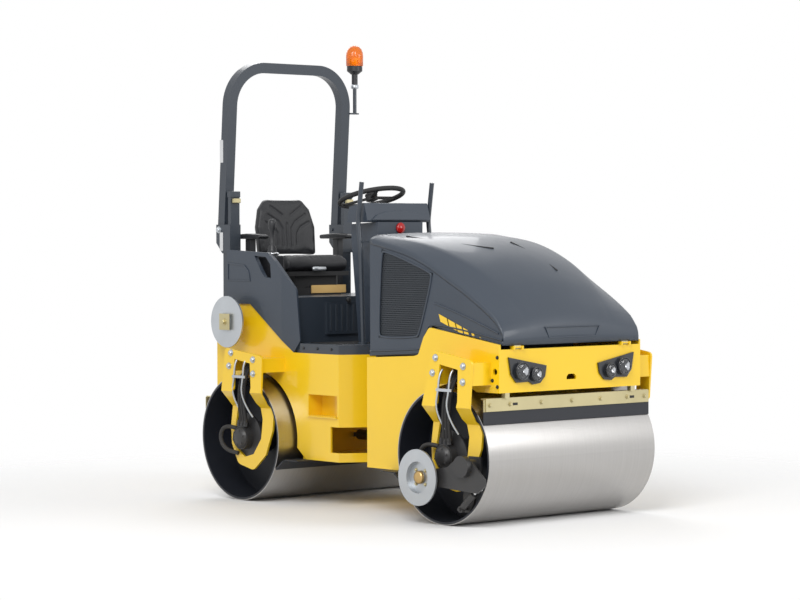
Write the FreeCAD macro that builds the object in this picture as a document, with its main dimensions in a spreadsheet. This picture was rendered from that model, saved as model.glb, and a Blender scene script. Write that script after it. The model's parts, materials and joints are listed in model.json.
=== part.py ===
import FreeCAD, Part
import math
import os
import Sketcher

# A ride-on tandem roller in millimetres. +X points forward, +Y to the operator's left, +Z up.
# The origin is on the ground, midway between the two drum axes, on the centre plane.

DOC = FreeCAD.newDocument("tandem_roller")
SHEET = DOC.addObject("Spreadsheet::Sheet", "dims")
NODES = {}


class Size:
    """A number that remembers the spreadsheet expression it comes from."""

    def __init__(self, value, text):
        self.value = float(value)
        self.text = text

    def __float__(self):
        return self.value

    def __neg__(self):
        return Size(-self.value, f"(-{self.text})")

    def __add__(self, other):
        other = as_size(other)
        return Size(self.value + other.value, f"({self.text} + {other.text})")

    def __radd__(self, other):
        return as_size(other) + self

    def __sub__(self, other):
        other = as_size(other)
        return Size(self.value - other.value, f"({self.text} - {other.text})")

    def __rsub__(self, other):
        return as_size(other) - self

    def __mul__(self, other):
        other = as_size(other)
        return Size(self.value * other.value, f"({self.text} * {other.text})")

    def __rmul__(self, other):
        return as_size(other) * self

    def __truediv__(self, other):
        other = as_size(other)
        return Size(self.value / other.value, f"({self.text} / {other.text})")


def as_size(term):
    return term if isinstance(term, Size) else Size(term, f"({float(term)!r})")


class Sizes:
    """Every driving dimension, by the alias of its spreadsheet cell."""


d = Sizes()
ROW = 0


def dim(alias, value):
    global ROW
    ROW += 1
    SHEET.set(f"A{ROW}", alias)
    SHEET.set(f"B{ROW}", str(value))
    SHEET.setAlias(f"B{ROW}", alias)
    size = Size(value, f"dims.{alias}")
    setattr(d, alias, size)
    return size


def outline(name, points):
    """Puts an outline's points in the sheet and returns them as sizes."""
    pairs = []
    for number, (across, up) in enumerate(points):
        pairs.append((dim(f"{name}_across_{number}", across), dim(f"{name}_up_{number}", up)))
    return pairs


for alias, value in [
    ("wheelbase", 1700), ("drum_radius", 350), ("drum_half", 600), ("drum_shell", 15),
    ("web_outer", 400), ("web_thick", 15), ("hub_radius", 110), ("stub_radius", 35),
    ("plate", 12), ("guard_gap", 22), ("fit", 0.3), ("running", 5),
    ("front_half", 512), ("rear_half", 485), ("belly", 250), ("deck_under", 770), ("floor_under", 835),
    ("rear_back", -1210), ("rear_top", 1096), ("skirt_foot", 595), ("crest_end", -885),
    ("slope_foot", -507), ("corner", -120), ("nose", 60), ("nose_half", 185),
    ("belly_rear", -403), ("wall_rear", -440),
    ("bracket_face", 656), ("bracket_low_face", 566), ("bend_top", 612), ("bend_drop", 90),
    ("front_edge", 150), ("front_nose", 1178), ("front_foot", 245), ("front_wall", 330),
    ("panel_foot", 685), ("panel_top", 905), ("slot_half", 35), ("slot_rise", 53),
    ("slot_height", 28), ("slot_corner", 14), ("sill_rear", 832), ("sill_dip", 527), ("sill_low", 852),
    ("sill_rise", 648), ("sill_high", 1005), ("sill_front", 930),
    ("roll_axis", 550), ("roll_bore", 60), ("pin_radius", 30), ("knuckle_top", 686), ("knuckle_foot", 284),
    ("lug_thick", 30),
    ("steer_arm", 130), ("steer_height", 370), ("ram_pin_x", -400), ("ram_pin_y", -122), ("ram_radius", 28),
    ("ram_rod", 12), ("ram_neck", 9), ("ram_length", 275), ("ram_rod_length", 240), ("ram_eye", 18), ("ram_pin", 10),
    ("recess_back", -380), ("recess_front", -135), ("recess_foot", 493), ("recess_top", 610),
    ("recess_depth", 100), ("recess_wall", 6), ("step_lip", 12),
    ("window_back", -190), ("window_foot", 300), ("window_top", 440),
    ("carrier_foot", 725), ("carrier_wall", 34), ("deck_gap", 4),
    ("motor_flange", 135), ("motor_body", 85), ("motor_nose", 66), ("motor_out", 596), ("motor_in", 430),
    ("hood_half", 490), ("hood_wall", 12), ("hinge_x", 1186), ("hinge_z", 915), ("hinge_pin", 4),
    ("hinge_knuckle", 8), ("hinge_inner", 366), ("hinge_outer", 414), ("hinge_cheek", 10),
    ("cowl_x", 168), ("cowl_half", 465), ("cowl_top", 1425),
    ("floor_top", 887), ("floor_sheet", 6), ("floor_back", -500), ("panel_front", -452),
    ("side_in", 473), ("side_out", 497),
    ("console_back", -1196), ("console_post", -1130), ("console_half", 470), ("console_top", 1140),
    ("cover_right", -265), ("cover_left", 10), ("cover_foot", 930), ("cover_top", 1108), ("cover_out", 15),
    ("seat_front", -862), ("seat_rear", -1205), ("seat_half", 240), ("seat_rise", 135), ("cushion_thick", 93),
    ("back_half", 225), ("back_rise", 344), ("back_bend", 162), ("back_rear", -1248), ("back_thick", 62),
    ("base_front", -880), ("base_rear", -1180), ("base_half", 165),
    ("rest_in", 285), ("rest_out", 365), ("rest_rear", -1235), ("rest_front", -965),
    ("rest_rise", 183), ("rest_thick", 40),
    ("lever_x", -805), ("lever_y", -400), ("lever_rise", 260), ("lever_reach", 175),
    ("dash_front", -170), ("dash_rear", -330), ("dash_half", 232), ("dash_foot", 1555), ("dash_top", 1662),
    ("pedestal_front", -150), ("pedestal_rear", -390), ("pedestal_half", 165),
    ("rail_half", 258), ("rail_radius", 13), ("rail_top", 1775),
    ("wheel_x", -410), ("wheel_z", 1695), ("wheel_radius", 180), ("wheel_grip", 14), ("wheel_tilt", 16),
    ("column_radius", 24),
    ("hoop_half", 450), ("hoop_tube", 60), ("hoop_top", 2482), ("hoop_corner", 250), ("hoop_lean", 4),
    ("hoop_pivot_x", -1222), ("hoop_pivot_z", 1515), ("hoop_tail", 45), ("hoop_bolt", 9),
    ("cheek", 8), ("cheek_rear", -1250), ("cheek_front", -1120), ("cheek_drop", 135), ("cheek_rise", 30),
    ("post_front", -1133), ("post_depth", 60), ("strut_rise", 185), ("strut_depth", 26),
    ("beacon_y", 500), ("beacon_x", -1150), ("beacon_foot", 2200), ("beacon_seat", 2488),
    ("beacon_peak", 2612), ("beacon_radius", 51),
    ("disc_radius", 145), ("disc_thick", 10), ("spare_x", -996), ("spare_z", 996), ("spare_y", -580),
    ("arm_x", 1070), ("arm_z", 318), ("arm_pin", 20), ("arm_in", 640), ("arm_thick", 12),
    ("arm_cap", 55), ("cap_depth", 28), ("cutter_x", 752), ("cutter_z", 243), ("cutter_out", 690),
    ("cutter_recess", 90), ("cutter_back", 657), ("tip_x", 1143), ("tip_z", 209),
    ("foot_x", 1010), ("foot_z", 95), ("jack_y", 617), ("jack_radius", 18), ("jack_rod", 8),
    ("jack_length", 125), ("jack_eye", 17), ("jack_pin", 8), ("jack_slack", 2),
    ("blade", 5), ("bar_thick", 6), ("blade_half", 598), ("bar_half", 588),
    ("engine_rear", 400), ("engine_front", 960), ("engine_half", 230), ("engine_top", 1220),
    ("pod_depth", 10), ("front_tie_x", 1148), ("front_tie_z", 792), ("front_eyelet", 16),
    ("rear_tie_x", -1096), ("rear_tie_z", 740), ("rear_eyelet", 19),
]:
    dim(alias, value)

FRONT_AXLE = d.wheelbase / 2
REAR_AXLE = -d.wheelbase / 2
SEAT_FOOT = d.console_top + d.seat_rise
SEAT_TOP = SEAT_FOOT + d.cushion_thick
BACK_TOP = SEAT_TOP + d.back_rise
BACK_BEND = SEAT_TOP + d.back_bend
REST_FOOT = SEAT_FOOT + d.rest_rise
LEVER_FOOT = d.console_top + d.lever_rise
CHEEK_FOOT = d.hoop_pivot_z - d.cheek_drop
FRONT_DECK = d.front_tie_z + d.front_eyelet + d.deck_gap
BODY_PLANES = {"XY": "XY_Plane", "XZ": "XZ_Plane", "YZ": "YZ_Plane"}


def bind(thing, prop, term):
    if isinstance(term, Size):
        thing.setExpression(prop, term.text)
    else:
        thing.setExpression(prop, as_size(term).text)


def sketch_on(body, name, plane, loops, offset):
    """A closed profile whose every corner is held by the sheet."""
    sketch = body.newObject("Sketcher::SketchObject", name)
    support = [part for part in body.Origin.OriginFeatures if part.Role == BODY_PLANES[plane]][0]
    sketch.AttachmentSupport = [(support, "")]
    sketch.MapMode = "FlatFace"
    bind(sketch, "AttachmentOffset.Base.z", offset)
    first = 0
    for points in loops:
        corners = [FreeCAD.Vector(float(u), float(v), 0) for u, v in points]
        count = len(corners)
        for number in range(count):
            sketch.addGeometry(Part.LineSegment(corners[number], corners[(number + 1) % count]), False)
        for number in range(count):
            following = first + (number + 1) % count
            sketch.addConstraint(Sketcher.Constraint("Coincident", first + number, 2, following, 1))
        for number, (u, v) in enumerate(points):
            for kind, term in (("DistanceX", u), ("DistanceY", v)):
                rule = Sketcher.Constraint(kind, -1, 1, first + number, 1, float(term))
                index = sketch.addConstraint(rule)
                if isinstance(term, Size):
                    sketch.setExpression(f"Constraints[{index}]", term.text)
        first += count
    return sketch


def prism(name, plane, points, low, high, rounds=(), holes=()):
    """A PartDesign body: an outline pulled from low to high along the plane's normal."""
    body = DOC.addObject("PartDesign::Body", name)
    start = -high if plane == "XZ" else low
    sketch = sketch_on(body, f"{name}_outline", plane, [points, *holes], as_size(start))
    pad = body.newObject("PartDesign::Pad", f"{name}_pad")
    pad.Profile = sketch
    bind(pad, "Length", as_size(high) - low)
    last = pad
    for number, (corner, radius) in enumerate(rounds):
        DOC.recompute()
        edge = edge_at(last, plane, points[corner])
        fillet = body.newObject("PartDesign::Fillet", f"{name}_round{number}")
        fillet.Base = (last, [edge])
        bind(fillet, "Radius", radius)
        last = fillet
    return body


def edge_at(feature, plane, point):
    """The name of the edge that runs along the plane's normal through a corner."""
    picks = {"XY": (0, 1), "XZ": (0, 2), "YZ": (1, 2)}[plane]
    for number, edge in enumerate(feature.Shape.Edges, 1):
        ends = [vertex.Point for vertex in edge.Vertexes]
        if len(ends) == 2 and all(
            abs(end[picks[0]] - float(point[0])) < 0.01 and abs(end[picks[1]] - float(point[1])) < 0.01
            for end in ends
        ):
            return f"Edge{number}"
    raise ValueError(f"no edge at {float(point[0])}, {float(point[1])}")


def box(name, x, y, z):
    """A Part box between two limits on each axis."""
    block = DOC.addObject("Part::Box", name)
    for side, letter, (low, high) in (("Length", "x", x), ("Width", "y", y), ("Height", "z", z)):
        bind(block, side, as_size(high) - low)
        bind(block, f"Placement.Base.{letter}", low)
    return block


AXES = {
    "X": FreeCAD.Rotation(FreeCAD.Vector(0, 1, 0), 90),
    "Y": FreeCAD.Rotation(FreeCAD.Vector(1, 0, 0), -90),
    "Z": FreeCAD.Rotation(),
}


def rod(name, axis, centre, radius, low, high):
    """A Part cylinder along an axis, from low to high; centre gives the other two coordinates."""
    tube = DOC.addObject("Part::Cylinder", name)
    tube.Placement = FreeCAD.Placement(FreeCAD.Vector(), AXES[axis])
    bind(tube, "Radius", radius)
    bind(tube, "Height", as_size(high) - low)
    letters = [letter for letter in "xyz" if letter != axis.lower()]
    for letter, term in zip(letters, centre):
        bind(tube, f"Placement.Base.{letter}", term)
    bind(tube, f"Placement.Base.{axis.lower()}", low)
    return tube


def fuse(name, *pieces):
    joined = DOC.addObject("Part::MultiFuse", name)
    joined.Shapes = list(pieces)
    return joined


def cut(name, base, *tools):
    tool = tools[0] if len(tools) == 1 else fuse(f"{name}_tools", *tools)
    result = DOC.addObject("Part::Cut", name)
    result.Base = base
    result.Tool = tool
    return result


def common(name, base, tool):
    result = DOC.addObject("Part::Common", name)
    result.Base = base
    result.Tool = tool
    return result


def mirror(name, source):
    """The same piece on the other side of the centre plane."""
    copy = DOC.addObject("Part::Mirroring", name)
    copy.Source = source
    copy.Normal = FreeCAD.Vector(0, 1, 0)
    return copy


def group(name, *pieces):
    """Like pieces that don't touch, kept as one sub-part."""
    together = DOC.addObject("Part::Compound", name)
    together.Links = list(pieces)
    return together


def pair(name, piece):
    return group(name, piece, mirror(f"{name}_mirrored", piece))


def solid(name, shape):
    """A piece whose shape is made directly from the sheet's values."""
    feature = DOC.addObject("Part::Feature", name)
    feature.Shape = shape
    return feature


def node(name, thing):
    thing.Label = name
    NODES[name] = thing
    return thing


def vec(*terms):
    return FreeCAD.Vector(*[float(term) for term in terms])


# Drums and what carries them

BRACKET = outline("bracket", [
    (262, 255), (232, 190), (262, 130), (252, 50), (190, -90), (80, -180), (-60, -150),
    (-118, -40), (-125, 60), (-105, 190), (-96, 267),
])
BRACKET_WINDOW = outline("bracket_window", [
    (172, 290), (140, 200), (165, 110), (150, 0), (80, -90), (0, -110), (-72, -60),
    (-84, 60), (-55, 190), (15, 280),
])
FRONT_HEAD = outline("front_head", [(-19, 547), (281, 504)])
FRONT_WINDOW = outline("front_window", [(39, 477), (177, 454)])
REAR_HEAD = outline("rear_head", [(-59, 506), (275, 466)])
REAR_WINDOW = outline("rear_window", [(25, 445), (165, 424)])


def about(axle, points):
    """Points given from the drum's axis, in the machine's frame."""
    return [(axle + across, d.drum_radius + up) for across, up in points]


def make_bracket(end, axle, head, window):
    """A joggled yellow side plate that reaches from the frame down into the open drum."""
    low_in = d.bracket_low_face - d.plate
    face_in = d.bracket_face - d.plate
    top = d.drum_radius + head[0][1] + d.plate
    band = prism(f"{end}_bracket_band", "YZ", [
        (d.bracket_face, top), (d.bracket_face, d.bend_top),
        (d.bracket_low_face, d.bend_top - d.bend_drop), (d.bracket_low_face, as_size(100)),
        (low_in, as_size(100)), (low_in, d.bend_top - d.bend_drop - d.plate / 2),
        (face_in, d.bend_top - d.plate / 2), (face_in, top),
    ], axle - d.drum_radius, axle + d.drum_radius)
    face = prism(
        f"{end}_bracket_face", "XZ", about(axle, [head[0], head[1], *BRACKET]),
        low_in, d.bracket_face,
        rounds=[(0, as_size(25)), (1, as_size(25)), (7, as_size(50)), (8, as_size(50))],
        holes=[about(axle, [window[0], window[1], *BRACKET_WINDOW])],
    )
    return pair(f"{end}_bracket_pair", common(f"{end}_bracket", band, face))


def make_drum(end, axle):
    """A steel drum: shell, two inset webs, hub tube and the stub that each motor turns."""
    centre = (axle, d.drum_radius)
    inner = d.drum_radius - d.drum_shell
    shell = cut(
        f"{end}_drum_shell",
        rod(f"{end}_drum_outside", "Y", centre, d.drum_radius, -d.drum_half, d.drum_half),
        rod(f"{end}_drum_bore", "Y", centre, inner, -d.drum_half - 1, d.drum_half + 1),
    )
    pieces = [shell]
    for side, sign in (("left", 1), ("right", -1)):
        low, high = sorted((sign * (d.web_outer - d.web_thick), sign * d.web_outer), key=float)
        pieces.append(rod(f"{end}_{side}_web", "Y", centre, inner + d.drum_shell / 2, low, high))
        low, high = sorted((sign * (d.web_outer - d.web_thick), sign * (d.motor_in - d.running)), key=float)
        pieces.append(rod(f"{end}_{side}_hub", "Y", centre, d.motor_body, low, high))
        low, high = sorted((sign * (d.web_outer - d.web_thick), sign * (d.bracket_low_face - 46)), key=float)
        pieces.append(rod(f"{end}_{side}_stub", "Y", centre, d.stub_radius, low, high))
    pieces.append(rod(f"{end}_hub_tube", "Y", centre, d.hub_radius, -d.web_outer + 1, d.web_outer - 1))
    return fuse(f"{end}_drum_body", *pieces)


def make_motors(end, axle):
    """The drive motor on each bracket: flange, housing inside the drum and round nose outside."""
    centre = (axle, d.drum_radius)
    inside = d.bracket_low_face - d.plate
    housing = fuse(
        f"{end}_motor_solid",
        rod(f"{end}_motor_flange", "Y", centre, d.motor_flange, inside - d.plate - d.fit, inside - d.fit),
        rod(f"{end}_motor_housing", "Y", centre, d.motor_body, d.motor_in, inside - 1),
        rod(f"{end}_motor_nose", "Y", centre, d.motor_nose, inside - 2, d.motor_out),
    )
    bore = rod(f"{end}_motor_bore", "Y", centre, d.stub_radius + d.fit, d.motor_in - 1, d.bracket_low_face - 40)
    return pair(f"{end}_motor_pair", cut(f"{end}_motor", housing, bore))


def make_carrier(end, axle, inner, head):
    """The welded box that joins the frame's side plate to the bracket, open below its window."""
    back = axle + head[0][0] + d.plate
    front = axle + head[1][0] - d.plate
    top = d.drum_radius + head[1][1] - 14
    shell = box(f"{end}_carrier_block", (back, front), (inner, d.bracket_face - d.plate), (d.carrier_foot, top))
    passage = box(
        f"{end}_carrier_passage",
        (back + d.carrier_wall, front - d.carrier_wall),
        (inner + d.plate, d.bracket_face),
        (d.carrier_foot - 1, top - d.plate),
    )
    return cut(f"{end}_carrier", shell, passage)


def make_low_scraper(end, axle, way, seat):
    """Zinc angle and blade under the frame, on the drum's inner side; way points to that side."""
    near = axle + way * 380
    far = axle + way * 500
    low, high = sorted((near, far), key=float)
    bar = box(f"{end}_low_bar", (low, high), (-d.bar_half, d.bar_half), (seat - d.bar_thick, seat))
    tip = [(axle + way * 317.5, d.drum_radius - 154), (axle + way * 323, d.drum_radius - 160)]
    root = [(axle + way * 390, seat - d.bar_thick), (axle + way * 380, seat - d.bar_thick)]
    blade = prism(f"{end}_low_blade", "XZ", [*tip, *root], -d.blade_half, d.blade_half)
    return fuse(f"{end}_low_scraper", bar, blade)


def make_high_scraper(end, axle, way, tip_up, tip_across, bar_top, hang):
    """Zinc bar with a black blade on the drum's outer side, hung from the frame's end plate."""
    def span(first, second):
        return tuple(sorted((axle + way * first, axle + way * second), key=float))

    blade = box(
        f"{end}_high_blade", span(tip_across, tip_across + d.blade),
        (-d.blade_half, d.blade_half), (d.drum_radius + tip_up, bar_top - d.bar_thick),
    )
    face = box(
        f"{end}_high_bar", span(tip_across + d.blade, tip_across + d.blade + d.bar_thick),
        (-d.bar_half, d.bar_half), (bar_top - 66, bar_top),
    )
    leg = box(
        f"{end}_high_leg", span(tip_across - 28, tip_across + d.blade + d.bar_thick),
        (-d.bar_half, d.bar_half), (bar_top - d.bar_thick, bar_top),
    )
    pieces = [blade, face, leg]
    for side, sign in (("left", 1), ("right", -1)):
        low, high = sorted((sign * as_size(440), sign * as_size(470)), key=float)
        pieces.append(box(
            f"{end}_{side}_hanger", span(tip_across, hang), (low, high), (bar_top - 2, bar_top + 25),
        ))
    return pieces


# Rear frame

def make_rear_frame():
    inner = d.rear_half - d.plate
    side = prism("rear_side", "XZ", [
        (d.rear_back, d.skirt_foot), (d.rear_back, d.rear_top), (d.crest_end, d.rear_top),
        (d.slope_foot, d.floor_under), (d.corner, d.floor_under), (d.corner, d.belly),
        (d.belly_rear, d.belly), (REAR_AXLE + 353, as_size(323)), (REAR_AXLE, d.drum_radius),
        (REAR_AXLE, d.skirt_foot),
    ], inner, d.rear_half)
    skew = d.plate * 1.17
    taper = prism("rear_taper", "XY", [
        (d.corner, d.rear_half), (d.nose, d.nose_half), (d.nose - skew, d.nose_half),
        (d.corner - skew, d.rear_half),
    ], d.belly, d.floor_under)
    pocket = box(
        "step_pocket", (d.recess_back - d.recess_wall, d.recess_front + d.recess_wall),
        (d.rear_half - d.recess_depth, inner + 1),
        (d.recess_foot - d.recess_wall, d.recess_top + d.recess_wall),
    )
    lip = box(
        "step_lip_plate", (d.recess_back - d.recess_wall, d.recess_front + d.recess_wall),
        (inner + 1, d.rear_half + d.step_lip), (d.recess_foot - d.recess_wall, d.recess_foot),
    )
    carrier = make_carrier("rear", REAR_AXLE, d.rear_half - 1, REAR_HEAD)
    boss = rod(
        "spare_boss_left", "Y", (d.spare_x, d.spare_z), 28,
        d.rear_half - 1, -d.spare_y - d.disc_thick - d.fit,
    )
    half = cut(
        "rear_half_cut", fuse("rear_half_solid", side, taper, pocket, lip, carrier),
        rod(
            "rear_arch", "Y", (REAR_AXLE, d.drum_radius), d.drum_radius + d.guard_gap,
            as_size(300), d.drum_half + 1,
        ),
        box(
            "step_space", (d.recess_back, d.recess_front),
            (d.rear_half - d.recess_depth + d.recess_wall, d.rear_half + 40), (d.recess_foot, d.recess_top),
        ),
        box(
            "ram_window", (d.window_back, as_size(5)), (as_size(250), d.rear_half + 40),
            (d.window_foot, d.window_top),
        ),
        rod("rear_tie_hole", "Y", (d.rear_tie_x, d.rear_tie_z), d.rear_eyelet, inner - 5, d.rear_half + 5),
    )
    plan = [
        (d.wall_rear, inner), (d.corner - skew, inner), (d.nose - skew / 2, d.nose_half),
        (d.nose - skew / 2, -d.nose_half), (d.corner - skew, -inner), (d.wall_rear, -inner),
    ]
    lugs = [
        prism("lug_plate_low", "XY", plan, d.belly, d.belly + d.lug_thick),
        prism("lug_plate_high", "XY", plan, d.knuckle_top + 4, d.knuckle_top + 4 + d.lug_thick),
    ]
    ram_lugs = [
        box(
            f"ram_lug_{name}", (d.wall_rear + 1, d.ram_pin_x + d.ram_eye + 4),
            (d.ram_pin_y - d.ram_eye - 4, d.ram_pin_y + d.ram_eye + 4), (low, high),
        )
        for name, low, high in (
            ("low", d.steer_height - 25, d.steer_height - 13),
            ("high", d.steer_height + 13, d.steer_height + 25),
        )
    ]
    ram_pin = rod(
        "ram_pin_rear", "Z", (d.ram_pin_x, d.ram_pin_y), d.ram_pin, d.steer_height - 25, d.steer_height + 25,
    )
    whole = fuse(
        "rear_frame_solid", half, mirror("rear_half_mirrored", half), *lugs, *ram_lugs, ram_pin,
        box(
            "rear_cross", (d.wall_rear, d.wall_rear + d.plate), (-inner - 1, inner + 1),
            (d.belly, d.floor_under),
        ),
        box("rear_end", (d.rear_back, d.rear_back + d.plate), (-inner - 1, inner + 1), (d.skirt_foot, d.rear_top)),
        box(
            "rear_deck", (d.rear_back + 1, d.wall_rear + 1), (-inner - 1, inner + 1),
            (d.deck_under, d.deck_under + d.plate),
        ),
        mirror("spare_boss", boss),
    )
    return node("rear_frame", cut(
        "rear_frame_cut", whole,
        rod("pivot_bore", "Z", (0, 0), d.pin_radius, d.belly - 1, d.knuckle_top + 5 + d.lug_thick),
    ))


def make_platform():
    floor = prism("floor_outer", "XY", [
        (d.floor_back, d.console_half), (d.panel_front, d.console_half), (d.panel_front, d.rear_half),
        (d.corner, d.rear_half), (d.nose, d.nose_half), (d.nose, -d.nose_half), (d.corner, -d.rear_half),
        (d.panel_front, -d.rear_half), (d.panel_front, -d.console_half), (d.floor_back, -d.console_half),
    ], d.floor_under + d.fit, d.floor_top)
    sheet = d.floor_sheet
    hollow = prism("floor_hollow", "XY", [
        (d.floor_back + sheet, d.console_half - sheet), (d.corner - sheet, d.console_half - sheet),
        (d.nose - sheet * 2, d.nose_half - sheet), (d.nose - sheet * 2, -d.nose_half + sheet),
        (d.corner - sheet, -d.console_half + sheet), (d.floor_back + sheet, -d.console_half + sheet),
    ], d.floor_under - 1, d.floor_top - sheet)
    node("floor_plate", cut("floor_cut", floor, hollow))

    low = d.deck_under + d.plate + d.fit
    half = d.console_half
    slim = d.hoop_half - d.hoop_tube - d.cheek - 8
    body = prism("console_body", "XY", [
        (d.floor_back - d.fit, half), (d.console_post, half), (d.console_post, slim),
        (d.console_back, slim), (d.console_back, -slim), (d.console_post, -slim),
        (d.console_post, -half), (d.floor_back - d.fit, -half),
    ], low, d.console_top)
    cover = box(
        "console_cover", (d.floor_back - 2, d.floor_back + d.cover_out),
        (d.cover_right, d.cover_left), (d.cover_foot, d.cover_top),
    )
    node("seat_console", fuse("console_solid", body, cover))


def make_side_panels():
    gap = d.fit * 2
    plate = prism("side_panel_plate", "XZ", [
        (as_size(-1100), as_size(1402)), (as_size(-723), as_size(1385)), (as_size(-663), as_size(1344)),
        (as_size(-485), as_size(1183)), (d.panel_front - 5, d.floor_top + 13),
        (d.slope_foot, d.floor_under + gap), (d.crest_end, d.rear_top + gap), (as_size(-1100), d.rear_top + gap),
    ], d.side_in, d.side_out, rounds=[(1, as_size(30)), (3, as_size(40))])
    grip = prism("grip_space", "XZ", [
        (as_size(-845), as_size(1369)), (as_size(-740), as_size(1362)), (as_size(-700), as_size(1320)),
        (as_size(-694), as_size(1243)), (as_size(-755), as_size(1250)), (as_size(-790), as_size(1290)),
    ], d.side_in - 1, d.side_out + 1)
    facet = prism("panel_facet", "XY", [
        (as_size(-610), d.side_out + 1), (as_size(-400), d.side_out + 1), (as_size(-400), d.side_in + 2),
    ], as_size(800), as_size(1450))
    left = cut("side_panel_cut", plate, grip, facet)
    node("side_panel_left", left)
    node("side_panel_right", mirror("side_panel_mirrored", left))


# Operator's station

def make_seat():
    foot = d.console_top + d.fit
    node("seat_base", fuse(
        "seat_base_solid",
        box("seat_slide", (d.base_rear, d.base_front), (-d.base_half, d.base_half), (foot, d.console_top + 40)),
        box(
            "seat_bellows", (d.base_rear + 25, d.base_front - 25), (-d.base_half + 15, d.base_half - 15),
            (d.console_top + 39, SEAT_FOOT - 24),
        ),
        box(
            "seat_pan", (d.seat_rear - 20, d.base_front + 5), (-d.seat_half + 20, d.seat_half - 20),
            (SEAT_FOOT - 25, SEAT_FOOT - d.fit),
        ),
    ))
    node("seat_cushion", prism("seat_cushion_pad", "XZ", [
        (d.seat_rear, SEAT_FOOT), (d.seat_rear, SEAT_TOP - 20), (d.seat_front - 60, SEAT_TOP),
        (d.seat_front, SEAT_TOP - 25), (d.seat_front - 8, SEAT_FOOT),
    ], -d.seat_half, d.seat_half, rounds=[(3, as_size(20))]))
    back = prism("seat_back_face", "YZ", [
        (-d.back_half, SEAT_TOP - 16), (d.back_half, SEAT_TOP - 16), (d.back_half + 5, BACK_BEND),
        (d.back_half - 75, BACK_TOP), (75 - d.back_half, BACK_TOP), (-d.back_half - 5, BACK_BEND),
    ], d.back_rear - 60, d.seat_front, rounds=[(3, as_size(60)), (4, as_size(60))])
    lean = prism("seat_back_side", "XZ", [
        (d.back_rear + 30, SEAT_TOP - 16), (d.back_rear + 30 + d.back_thick, SEAT_TOP - 16),
        (d.back_rear + d.back_thick - 10, BACK_TOP), (d.back_rear, BACK_TOP),
    ], -d.seat_half - 20, d.seat_half + 20)
    node("seat_back", common("seat_back_solid", back, lean))
    rest = fuse(
        "armrest_solid",
        box(
            "armrest_pad", (d.rest_rear, d.rest_front), (d.rest_in, d.rest_out),
            (REST_FOOT, REST_FOOT + d.rest_thick),
        ),
        box(
            "armrest_stem", (d.rest_rear + 110, d.rest_rear + 160), (d.rest_in + 20, d.rest_out - 20),
            (foot, REST_FOOT + 1),
        ),
    )
    node("armrests", pair("armrest_pair", rest))
    side = d.lever_y
    lever_top = LEVER_FOOT + d.lever_reach
    node("travel_lever", fuse(
        "travel_lever_solid",
        box("lever_box", (d.lever_x - 95, d.lever_x + 55), (side - 45, side + 45), (foot, LEVER_FOOT - 30)),
        rod("lever_collar", "Z", (d.lever_x, side), 24, LEVER_FOOT - 31, LEVER_FOOT + 32),
        rod("lever_stem", "Z", (d.lever_x, side), 12, LEVER_FOOT + 30, lever_top - 60),
        rod("lever_grip", "Z", (d.lever_x, side), 21, lever_top - 62, lever_top),
    ))


def make_dash():
    foot = d.floor_top + d.fit
    pedestal = prism("pedestal", "XZ", [
        (d.pedestal_rear + 60, foot), (d.pedestal_front - 25, foot), (d.pedestal_front - 15, d.dash_foot),
        (d.pedestal_rear, d.dash_foot - 10), (d.pedestal_rear, d.dash_foot - 100),
    ], -d.pedestal_half, d.pedestal_half)
    top = prism("dash_top_box", "XZ", [
        (d.dash_front, d.dash_foot - 1), (d.dash_front - 32, d.dash_top), (d.dash_rear, d.dash_top - 22),
        (d.dash_rear - 20, d.dash_foot - 1),
    ], -d.dash_half, d.dash_half, rounds=[(0, as_size(12)), (1, as_size(10))])
    node("dash_console", fuse("dash_solid", pedestal, top))

    points = [
        vec(-190, d.rail_half, d.rail_top), vec(-222, d.rail_half, 1560), vec(-200, d.rail_half, 1400),
        vec(-182, d.rail_half, foot + 3),
    ]
    rail = solid("rail_tube", bent_tube(points, [180, 260], float(d.rail_radius)))
    foot_pad = rod("rail_foot", "Z", (-182, d.rail_half), 30, foot, foot + 8)
    tie = box("rail_tie", (-226, -186), (d.pedestal_half + d.fit, d.rail_half), (1440, 1452))
    node("grab_rails", pair("rail_pair", fuse("rail_solid", rail, foot_pad, tie)))


def bent_tube(points, radii, radius):
    """A round bar along straight runs joined by tangent arcs."""
    edges = []
    start = points[0]
    for corner, before, after, bend in zip(points[1:-1], points[:-2], points[2:], radii):
        incoming = (corner - before).normalize()
        outgoing = (after - corner).normalize()
        turn = incoming.getAngle(outgoing)
        back = bend * math.tan(turn / 2)
        first = corner - incoming * back
        last = corner + outgoing * back
        inward = (outgoing - incoming).normalize()
        middle = corner + inward * (bend / math.cos(turn / 2) - bend)
        edges.append(Part.LineSegment(start, first).toShape())
        edges.append(Part.Arc(first, middle, last).toShape())
        start = last
    edges.append(Part.LineSegment(start, points[-1]).toShape())
    path = Part.Wire(edges)
    heading = (points[1] - points[0]).normalize()
    ring = Part.Wire([Part.makeCircle(radius, points[0], heading)])
    return path.makePipeShell([ring], True, True)


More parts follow.
